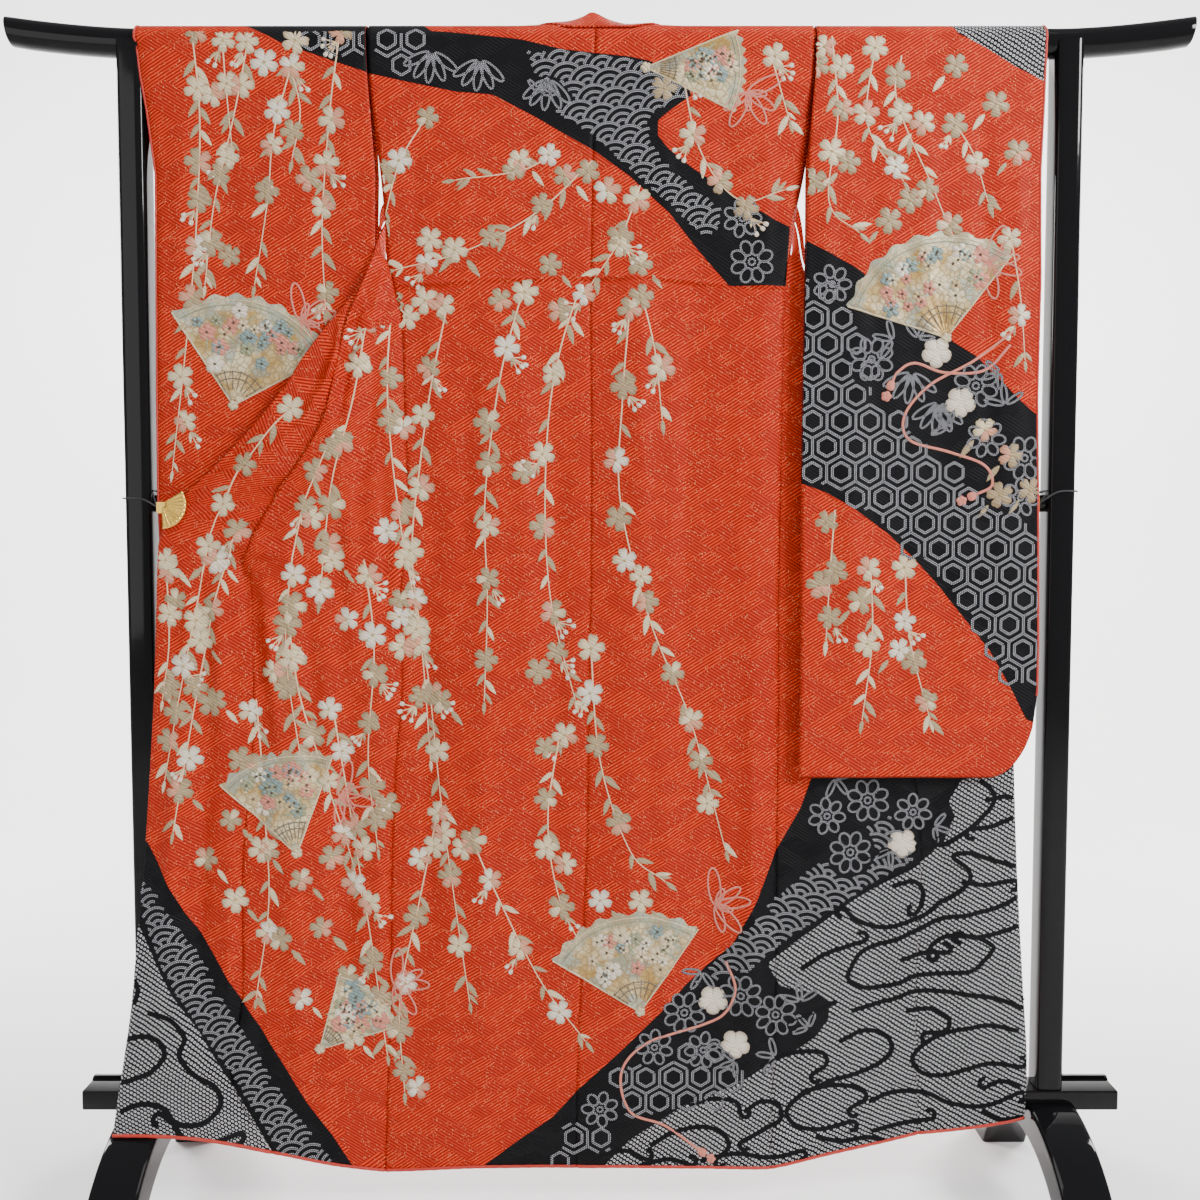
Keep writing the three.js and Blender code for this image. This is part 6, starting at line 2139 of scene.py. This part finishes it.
@dataclass
class Studio:
    """A pale floor that curves up behind, soft lamps and the camera."""

    lens: float = 37.5
    spot: Spot = (0.0, -1.83, 1.01)
    down: float = 3.26

    def camera(self) -> None:
        """Sets the camera square to the back of the garment."""
        data = bpy.data.cameras.new("front")
        data.lens = self.lens
        data.sensor_width = 36.0
        data.clip_end = 60.0
        eye = bpy.data.objects.new("front", data)
        eye.location = self.spot
        eye.rotation_euler = (math.radians(90 - self.down), 0, 0)
        bpy.context.scene.collection.objects.link(eye)
        bpy.context.scene.camera = eye

    def floor(self) -> None:
        """Builds the floor and the backdrop as one swept sheet."""
        turn = np.linspace(0.1, np.pi / 2, 12)
        y = np.concatenate((np.linspace(-6, 2.2, 6), 2.2 + 1.6 * np.sin(turn), (3.8, 3.8)))
        z = np.concatenate((np.zeros(6), 1.6 - 1.6 * np.cos(turn), (3.0, 6.5)))
        x = np.linspace(-7, 7, 8)
        points = stacked(x, y[:, None], z[:, None]).reshape(-1, 3)
        mesh = bpy.data.meshes.new("backdrop")
        mesh.from_pydata(points.tolist(), [], grid_quads(len(y), 8).tolist())
        mesh.polygons.foreach_set("use_smooth", np.ones(len(mesh.polygons), bool))
        graph = Graph("pale_paper")
        tint = graph.noise(graph.place("Object"), 3.0, 2.0)
        mesh.materials.append(graph.finish(
            Base_Color=graph.mix(tint, rgb(0.86, 0.85, 0.84), rgb(0.89, 0.88, 0.87)), Roughness=0.9))
        sheet = bpy.data.objects.new("backdrop", mesh)
        bpy.context.scene.collection.objects.link(sheet)

    def lamps(self) -> None:
        """Hangs the soft lamps and sets the pale surroundings."""
        for name, spot, size, power, aim in (
                ("key", (2.9, -2.5, 3.0), (1.0, 1.0), 178.0, (0, 0, 1.0)),
                ("fill", (-2.6, -3.2, 1.7), (2.0, 2.4), 30.0, (0, 0, 0.9)),
                ("top", (0.2, -0.9, 4.2), (2.4, 1.6), 44.0, (0, 0, 0.8)),
                ("rear", (0.5, 3.0, 3.6), (3.0, 1.6), 40.0, (0, 0, 0.9)),
                ("sweep_left", (-2.6, 0.9, 2.4), (1.4, 1.4), 290.0, (-0.6, 4.2, 1.4)),
                ("sweep_right", (2.6, 0.9, 2.4), (1.4, 1.4), 290.0, (0.6, 4.2, 1.4))):
            data = bpy.data.lights.new(name, "AREA")
            data.shape = "RECTANGLE"
            data.size, data.size_y = size
            data.energy = power
            lamp = bpy.data.objects.new(name, data)
            lamp.location = spot
            way = np.array(aim, float) - np.array(spot)
            flat = math.hypot(way[0], way[1])
            lamp.rotation_euler = (math.atan2(flat, -way[2]), 0, math.atan2(way[1], way[0]) - math.pi / 2)
            bpy.context.scene.collection.objects.link(lamp)
        world = bpy.data.worlds.new("studio")
        world.use_nodes = True
        world.node_tree.nodes["Background"].inputs["Color"].default_value = rgb(0.95, 0.96, 1.0)
        world.node_tree.nodes["Background"].inputs["Strength"].default_value = 0.5
        bpy.context.scene.world = world

    def build(self) -> None:
        """Builds camera, floor and lamps."""
        self.camera()
        self.floor()
        self.lamps()


# ---------- where the patterns lie ----------

SHOULDER_BLACK = spots(-509, 1752, -281, 1752, -239, 1712, -210, 1710, -113, 1700, -52, 1686, -6, 1681, 42, 1676,
    70, 1670, 114, 1650, 130, 1623, 99, 1601, 82, 1587, 82, 1566, 96, 1548, 132, 1520, 187, 1484, 241, 1452,
    270, 1438, 265, 1355, 184, 1355, 139, 1406, 99, 1456, 42, 1509, -8, 1545, -52, 1569, -95, 1594, -152, 1623,
    -203, 1627, -282, 1643, -328, 1653, -380, 1670, -449, 1694, -501, 1720)
SLEEVE_BLACK = spots(253, 1421, 292, 1415, 357, 1380, 484, 1284, 535, 1252, 593, 1192, 619, 1171, 673, 1143, 682,
    714, 612, 736, 591, 778, 557, 837, 519, 884, 482, 931, 445, 971, 409, 1004, 357, 1041, 320, 1062, 284, 1075,
    256, 1082)
CORNER_BLACK = spots(505, 1707, 544, 1687, 584, 1662, 622, 1642, 670, 1621, 667, 1771, 472, 1771)
LEFT_BLACK = spots(-692, 582, -653, 558, -631, 515, -602, 458, -562, 395, -520, 322, -465, 231, -429, 170, -392,
    121, -354, 58, -364, -3, -763, -3, -749, 582)
RIGHT_BLACK = spots(-215, 15, -193, 46, -172, 69, -130, 101, -70, 143, -31, 186, 25, 238, 81, 293, 126, 342, 194,
    403, 230, 472, 256, 540, 292, 604, 310, 658, 334, 689, 683, 689, 698, -15, -216, -15)
LEFT_DOTS = spots(-767, 467, -709, 467, -669, 442, -648, 396, -620, 335, -583, 282, -555, 230, -504, 142, -468,
    80, -455, -3, -778, -3)
RIGHT_DOTS = spots(-15, -15, 6, 69, 44, 108, 120, 158, 186, 186, 232, 213, 295, 249, 317, 266, 336, 293, 335,
    320, 316, 333, 294, 332, 264, 341, 245, 374, 293, 411, 363, 464, 463, 518, 501, 555, 516, 593, 507, 615,
    524, 645, 698, 696, 713, -15)

HEXAGONS_BODY = outlines(
    (27, 219, 147, 243, 218, 234, 213, 186, 148, 163, 89, 149, 37, 131), (-59, 76, -59, 134, 15, 140, 18, 92),
    (-321, 1715, -253, 1708, -262, 1664, -321, 1670))
HEXAGONS_LEFT = outlines(
    (-428, 1714, -330, 1720, -330, 1662, -381, 1676))
HEXAGONS_SLEEVE = outlines(
    (281, 1379, 331, 1360, 367, 1290, 403, 1248, 382, 1192, 461, 1136, 511, 1079, 655, 994, 660, 765, 588, 794,
    514, 908, 427, 994, 355, 1051, 284, 1082))
WAVES_BODY = outlines(
    (-107, 1686, -56, 1686, 56, 1672, 121, 1645, 127, 1617, 78, 1598, 71, 1563, 102, 1520, 192, 1450, 149, 1420,
    57, 1503, -14, 1567, -78, 1606), (124, 333, 249, 468, 336, 542, 437, 615, 460, 527, 380, 479, 279, 411, 209,
    356))
WAVES_LEFT = outlines(
    (-670, 515, -636, 481, -580, 393, -524, 290, -453, 169, -386, 80, -463, 80, -508, 160, -561, 249, -624, 349,
    -663, 448))
TIED_FLOWERS_BODY = spots(202, 1450, 216, 1389, 330, 593, 365, 539, 456, 598, 390, 615, 80, 249, 124, 300, 152,
    243, 206, 327, 0, 155, 258, 297)
TIED_FLOWERS_SLEEVE = spots(327, 1354, 384, 1249, 547, 1138, 602, 1110, 597, 1054, 532, 1212)
BAMBOO_BODY = spots(-237, 1683, -169, 1672, -73, 1645)
BAMBOO_SLEEVE = spots(441, 1231, 481, 1189)
SPRIGS_BODY = spots(-85, 1625, 294, 318, 306, 279, 258, 234, 199, 228, 150, 360, 424, 542, 342, 648, 487, 577)
SPRIGS_SLEEVE = spots(449, 1279, 573, 1185, 493, 1153, 414, 1276, 565, 1231)

WATER = outlines(
    (552, 645, 572, 627, 571, 608, 548, 583, 514, 558, 501, 550), (602, 590, 570, 577, 538, 574), (607, 518,
    571, 528, 536, 539, 514, 533, 536, 515, 537, 496, 515, 476, 496, 464, 478, 448, 464, 441, 422, 427, 396,
    430, 372, 441, 359, 454), (427, 488, 455, 496, 471, 485, 471, 464, 464, 450), (609, 472, 583, 458, 540, 448,
    500, 441, 469, 426, 431, 408, 387, 393, 369, 370, 364, 351, 385, 338, 414, 338, 445, 347, 466, 356, 530,
    362, 552, 369, 575, 394, 571, 403, 546, 415, 509, 415, 487, 402, 481, 387), (294, 365, 326, 387, 358, 399,
    386, 406), (369, 303, 424, 318, 462, 332, 510, 332, 575, 323, 619, 308), (616, 273, 567, 282, 516, 273, 479,
    255, 460, 231, 475, 210, 509, 207, 543, 219, 575, 225, 620, 219), (351, 258, 386, 273, 418, 267, 430, 246,
    413, 225, 378, 210, 337, 198, 295, 176, 275, 152, 290, 131, 326, 125, 370, 137), (396, 167, 436, 182, 480,
    180, 517, 164, 569, 161, 617, 180), (74, 99, 106, 119, 148, 128, 180, 119, 190, 98, 172, 79), (214, 152,
    236, 167, 263, 161, 266, 140, 243, 125, 210, 107), (400, 122, 444, 134, 488, 140), (613, 430, 586, 420, 550,
    414, 525, 420), (561, 615, 590, 621, 609, 615), (148, 76, 200, 88, 252, 82, 296, 92), (620, 190, 590, 198,
    568, 189), (440, 378, 477, 390, 506, 390), (236, 220, 280, 240, 324, 243, 333, 225, 313, 210), (449, 303,
    486, 306, 512, 291, 507, 273, 480, 270), (562, 152, 592, 140, 621, 143), (526, 497, 563, 491, 603, 497),
    (318, 114, 355, 107, 397, 113, 429, 104, 474, 107), (133, 160, 166, 170, 200, 167, 207, 149), (346, 318,
    312, 300, 280, 288), (387, 527, 416, 539, 445, 548, 482, 545), (295, 182, 340, 192, 378, 189, 393, 173, 370,
    158), (0, 84, 37, 92, 67, 79), (59, 69, 101, 79, 133, 70), (-703, 386, -685, 374, -668, 349, -674, 327,
    -698, 321), (-702, 267, -669, 279, -640, 273, -629, 252, -644, 231, -673, 220, -703, 216), (-654, 312, -622,
    300, -602, 273, -609, 249, -589, 220, -560, 199, -552, 172, -573, 154, -605, 157, -628, 172), (-686, 178,
    -657, 187, -625, 178, -599, 142, -564, 127, -526, 133))

STRANDS_BODY = outlines(
    (-296, 1350, -303, 1194, -288, 1023, -260, 849, -247, 674), (-216, 1335, -240, 1222, -258, 1109, -271, 965,
    -249, 791, -233, 630, -212, 468, -191, 318), (-108, 1356, -143, 1222, -165, 1051, -162, 907, -167, 762),
    (-28, 1356, -57, 1265, -74, 1166, -79, 1023, -69, 893, -36, 762), (-190, 571, -146, 468, -88, 348, -22,
    258), (-233, 615, -264, 468, -294, 318, -288, 182), (43, 1335, 32, 1194, 29, 1051, 72, 878, 131, 733, 183,
    542), (57, 1350, 78, 1265, 89, 1166), (-14, 849, 0, 674, 44, 542, 95, 497), (-58, 718, -76, 586, -59, 468,
    -15, 378))
STRANDS_SHOULDER = outlines(
    (-11, 1531, -85, 1462, -185, 1406, -292, 1378), (57, 1496, 28, 1420, -14, 1356), (-57, 1545, -113, 1517,
    -205, 1503), (113, 1670, 142, 1545, 198, 1476, 262, 1490), (240, 1683, 268, 1587), (-240, 1601, -283, 1531,
    -307, 1448))
STRANDS_FRONT_LEFT = outlines(
    (-327, 1318, -350, 1192, -383, 1065, -402, 909), (-424, 1192, -479, 1136, -547, 1022, -586, 851, -626, 649),
    (-382, 1136, -426, 1022, -450, 851, -431, 678), (-512, 1022, -549, 909, -580, 765, -613, 576), (-449, 909,
    -430, 765, -389, 620, -347, 474), (-494, 765, -486, 620, -480, 474, -501, 327), (-387, 765, -367, 620, -333,
    400, -313, 237), (-619, 966, -617, 851, -628, 765), (-339, 966, -326, 837, -336, 678, -323, 547))
STRANDS_SLEEVE_LEFT = outlines(
    (-575, 1712, -566, 1587, -575, 1420, -592, 1265, -615, 1094), (-493, 1712, -516, 1601, -547, 1476, -563,
    1357), (-423, 1705, -460, 1574, -471, 1476, -492, 1357), (-366, 1712, -382, 1601, -395, 1448, -392, 1322),
    (-440, 1670, -424, 1601, -436, 1532), (-533, 1709, -528, 1629, -521, 1546))
STRANDS_SLEEVE_RIGHT = outlines(
    (327, 1703, 335, 1594, 322, 1470, 365, 1426), (390, 1703, 377, 1580, 427, 1498), (425, 1676, 419, 1608, 477,
    1470, 513, 1387), (489, 1594, 525, 1539, 547, 1470), (334, 1037, 328, 951, 323, 851), (435, 966, 444, 851,
    474, 736), (576, 1429, 592, 1332, 600, 1248), (385, 966, 389, 851, 376, 736))
CLUSTERS_BODY = spots(-50, 1510, -113, 1531, -242, 1420, -206, 1406, -71, 1385, 57, 1385, 28, 1413, -249, 1335,
    -142, 1335, -57, 1321, -289, 907, -232, 762, 146, 674, 59, 468, 0, 468, -619, 966, -606, 909, -572, 851,
    -616, 780, -620, 707, -552, 765, -517, 678, -604, 635, -533, 591, -570, 533, -490, 547, -433, 503, -390,
    533, -528, 474, -464, 415, -406, 430, -370, 356, -436, 327, -364, 267, -322, 327, -548, 966, -364, 880,
    -384, 966)
CLUSTERS_SLEEVE_RIGHT = spots(546, 1150, 582, 1114, 611, 1065, 568, 1058, 502, 1662, 307, 1662, 350, 1525, 407,
    1443, 301, 1498, 454, 1580, 588, 1539, 558, 1608, 371, 908, 429, 837)
PLUM_SLEEVE = spots(476, 1259, 511, 1189)
PLUM_BODY = spots(441, 552, 166, 318, 199, 254)
CORDS_SLEEVE = outlines(
    (579, 1269, 544, 1234, 488, 1231, 445, 1244, 421, 1231, 413, 1216), (585, 1290, 530, 1248, 467, 1213, 432,
    1171, 439, 1136, 496, 1119, 546, 1100, 557, 1072, 533, 1058))
CORDS_BODY = outlines(
    (184, 378, 198, 333, 169, 288, 74, 258, 32, 213, 44, 152, 96, 130, 148, 92))


SEAM_SIDES = {"back_left": (False, True), "back_right": (True,), "front_left": (False,), "front_right": (False,)}


@dataclass
class Garment:
    """The furisode: nine pieces of lined silk, their rolled edges and everything worked on them."""

    finishes: Finishes
    panels: dict[str, Panel] = field(init=False)
    sleeves: dict[str, Sleeve] = field(init=False)
    dyeing: Dyeing = field(init=False)

    def __post_init__(self) -> None:
        """Cuts the pieces and lays out the dye."""
        self.dyeing = Dyeing((SHOULDER_BLACK, LEFT_BLACK, RIGHT_BLACK), (LEFT_DOTS, RIGHT_DOTS),
                             (SLEEVE_BLACK, CORNER_BLACK), (CORNER_BLACK,))
        cut = (Panel("back_left", BACK_LEFT, -1, (0.33, 1.68), 0.47, -1, seed=0.4, fine=TUCK),
               Panel("back_right", BACK_RIGHT, 1, (0.32, 1.68), 0.47, -1, seed=1.9, fine=TUCK),
               Panel("front_left", FRONT_LEFT, 1, (0.23, 1.72), 0.28, 1, CREASES_FRONT_LEFT, 3.1, 1.5),
               Panel("front_right", FRONT_RIGHT, -1, (0.22, 1.68), 0.25, 1, seed=4.4, sway=1.2),
               Panel("overlap_left", OVERLAP_LEFT, 1, (0.22, 1.32), 0.165, 0, CREASES_FRONT_LEFT, 5.2),
               Panel("overlap_right", OVERLAP_RIGHT, -1, (0.21, 1.28), 0.18, 0, seed=6.3),
               Panel("collar", COLLAR, -1, (0.05, 1.98), 0.066, 0, np.zeros((0, 6)), 0.0, 0.35, COLLAR_CLOTH,
                     4.0, False, 0.3))
        self.panels = {panel.name: panel for panel in cut}
        sleeves = (Sleeve("sleeve_left", SLEEVE_LEFT, CREASES_SLEEVE_LEFT, (0.35, 2.18), 0.69, 0.8, 5.0),
                   Sleeve("sleeve_right", SLEEVE_RIGHT, CREASES_SLEEVE_RIGHT, (0.36, 2.18), 0.72, 2.6))
        self.sleeves = {sleeve.name: sleeve for sleeve in sleeves}

    def cloth(self) -> None:
        """Builds the nine pieces and the rolls along their edges."""
        for panel in self.panels.values():
            piece = panel.build(self.finishes, self.dyeing)
            if panel.hem:
                RolledEdge("hem_roll_" + panel.name).build(panel.hem_line(), self.finishes)
            for first in SEAM_SIDES.get(panel.name, ()):
                panel.seam_tape(first, self.finishes, self.dyeing)
        for sleeve in self.sleeves.values():
            piece = sleeve.build(self.finishes, self.dyeing)
            roll = RolledEdge("cuff_roll_" + sleeve.name, 1.9).build(sleeve.cuff_line(), self.finishes, True)

    def neck_seam(self, half: float = 92.0, inside: float = 1.9) -> None:
        """Builds the seam allowance under the neck, between the back's edge and the collar.

        Args:
            half: half its length across.
            inside: how far under the cloth it lies.
        """
        x = np.linspace(-half, half, 64)[None, :]
        turn = np.radians(neck_angle(x) + np.linspace(-7, 26, 9)[:, None])
        radius = drape_radius(x) - inside
        strip = stacked(x, -radius * np.cos(turn), BEAM_Z + radius * np.sin(turn))
        points, faces, _ = Shell(strip, 0.5, -1).arrays()
        make_piece("seam_neck", points, faces, [self.finishes.edge])

    def surfaces(self, fronts_below: float = 1300.0) -> dict[str, Surface]:
        """Returns the outermost cloth of each part, the fronts taken below the beam's gathers."""
        near = [self.panels[name].outer for name in ("back_left", "back_right")]
        for name in ("front_left", "front_right", "overlap_left", "overlap_right"):
            grid = self.panels[name].outer
            near.append(grid[grid[:, grid.shape[1] // 2, 2] < fronts_below])
        on = {"body": Surface(near, -1)}
        for side in ("left", "right"):
            sleeve = self.sleeves["sleeve_" + side]
            on[side], on["far_" + side] = Surface([sleeve.layer(False)], -1), Surface([sleeve.layer(True)], 1)
        return on

    def tied(self, on: dict[str, Surface]) -> None:
        """Draws the figures in the black dye.

        Args:
            on: the surfaces.
        """
        for part, name, hexagons, waves, flowers, leaves, sprigs in (
                ("body", "body", HEXAGONS_BODY, WAVES_BODY + WAVES_LEFT, TIED_FLOWERS_BODY, BAMBOO_BODY,
                 SPRIGS_BODY),
                ("left", "sleeve_left", HEXAGONS_LEFT, (), (), (), ()),
                ("right", "sleeve", HEXAGONS_SLEEVE, (), TIED_FLOWERS_SLEEVE, BAMBOO_SLEEVE, SPRIGS_SLEEVE)):
            work = TiedFigures(on[part], name)
            for k, spot in enumerate(flowers):
                work.flower(spot, 27.0 + 4 * (k % 2), 7 + k % 2, 0.4 * k)
            for k, spot in enumerate(leaves):
                work.leaves(spot, 44.0, (205 + 6 * k, 235, 262, 292, 322 - 5 * k))
            for k, spot in enumerate(sprigs):
                work.leaves(spot, 24.0 + 5 * (k % 2), (35 * k, 35 * k + 62, 35 * k + 131))
            for area in hexagons:
                work.tortoiseshell(area)
            for k, area in enumerate(waves):
                work.waves(area, lean=0.35 * (-1) ** k)
            work.build(self.finishes)

    def water(self, on: dict[str, Surface], width: float = 7.0) -> None:
        """Draws the black curls of water over the tied dots.

        Args:
            on: the surfaces.
            width: width of a line, and radius of the curl at its end.
        """
        work = Worked("water_lines", on["body"])
        for knots in WATER:
            line, _ = even_curve(knots, 4.0)
            work.ribbon(np.vstack((line, hook(line, width))), width, 0.8, sink=0.3)
        work.build(self.finishes.water)

    def cherry(self, on: dict[str, Surface]) -> None:
        """Works the weeping cherry on every part.

        Args:
            on: the surfaces.
        """
        body = CherryWork(on["body"], "body", 7)
        left = CherryWork(on["left"], "sleeve_left", 11)
        right = CherryWork(on["right"], "sleeve_right", 13)
        for work, strands, blossoms, leaves in (
                (body, STRANDS_BODY, 92.0, 40.0), (body, STRANDS_SHOULDER, 84.0, 33.0),
                (body, STRANDS_FRONT_LEFT, 84.0, 36.0), (left, STRANDS_SLEEVE_LEFT, 88.0, 34.0),
                (right, STRANDS_SLEEVE_RIGHT, 88.0, 32.0)):
            for knots in strands:
                work.strand(knots, blossoms, leaves)
        for work, clusters, aside, angle in (
                (body, CLUSTERS_BODY, 16, -0.9), (right, CLUSTERS_SLEEVE_RIGHT, -16, -2.2)):
            for spot in clusters:
                work.blossom(spot)
                work.leaf(spot + (aside, -14), angle)
        for work, plums in ((right, PLUM_SLEEVE), (body, PLUM_BODY)):
            for spot in plums:
                work.stitches.shape(PLUM, spot, 0.3, 23.0, Thread.WHITE.tone, 1.3)
        far = (CherryWork(on["far_left"], "far_left", 17), CherryWork(on["far_right"], "far_right", 19))
        for work, middle in zip(far, (-480.0, 458.0)):
            for k, dx in enumerate((-105.0, -35.0, 40.0, 108.0)):
                knots = np.array(((middle + dx, 1690 - 20 * k), (middle + dx * 0.9 + 12, 1460),
                                  (middle + dx * 1.05, 1220), (middle + dx, 980 + 60 * (k % 2))))
                work.strand(knots, 78.0, 44.0)
        for work in (body, left, right, *far):
            work.build(self.finishes)

    def fans(self, on: dict[str, Surface]) -> None:
        """Works the gold fans and couches the pink cords.

        Args:
            on: the surfaces.
        """
        left, right, body = (GoldFans(on[key], name, seed) for key, name, seed in (
            ("left", "sleeve_left", 3), ("right", "sleeve_right", 5), ("body", "body", 9)))
        for work, spot, radius, start, stop, bow, lean in (
                (left, (-526.0, 1187.0), 158.0, 27, 123, (-425.0, 1305.0), 15),
                (right, (490.0, 1280.0), 149.0, 52, 163, (546.0, 1385.0), -20),
                (body, (-438.0, 542.0), 150.0, 70, 138, (-377.0, 620.0), -10),
                (body, (-410.0, 250.0), 116.0, 15, 75, (-300.0, 341.0), 0),
                (body, (59.0, 303.0), 150.0, 55, 150, (170.0, 460.0), 10),
                (body, (65.0, 1661.0), 142.0, -26, 22, (209.0, 1625.0), -60)):
            work.fan(spot, radius, start, stop)
            work.bow(bow, 56.0, math.radians(lean))
        for work, cords in ((right, CORDS_SLEEVE), (body, CORDS_BODY)):
            for knots in cords:
                work.cord(knots)
        for work in (left, right, body):
            work.build(self.finishes)

    def build(self) -> None:
        """Builds the garment from the cloth up."""
        self.cloth()
        self.neck_seam()
        on = self.surfaces()
        for work in (self.tied, self.water, self.cherry, self.fans):
            work(on)


def main() -> None:
    """Builds the studio, the stand, the clips and the garment."""
    logging.basicConfig(level=logging.INFO, format="%(message)s")
    Studio().build()
    finishes = Finishes.made()
    Stand().build(finishes)
    Clips().build(finishes)
    Garment(finishes).build()
    bpy.context.view_layer.update()


if __name__ == "__main__":
    main()
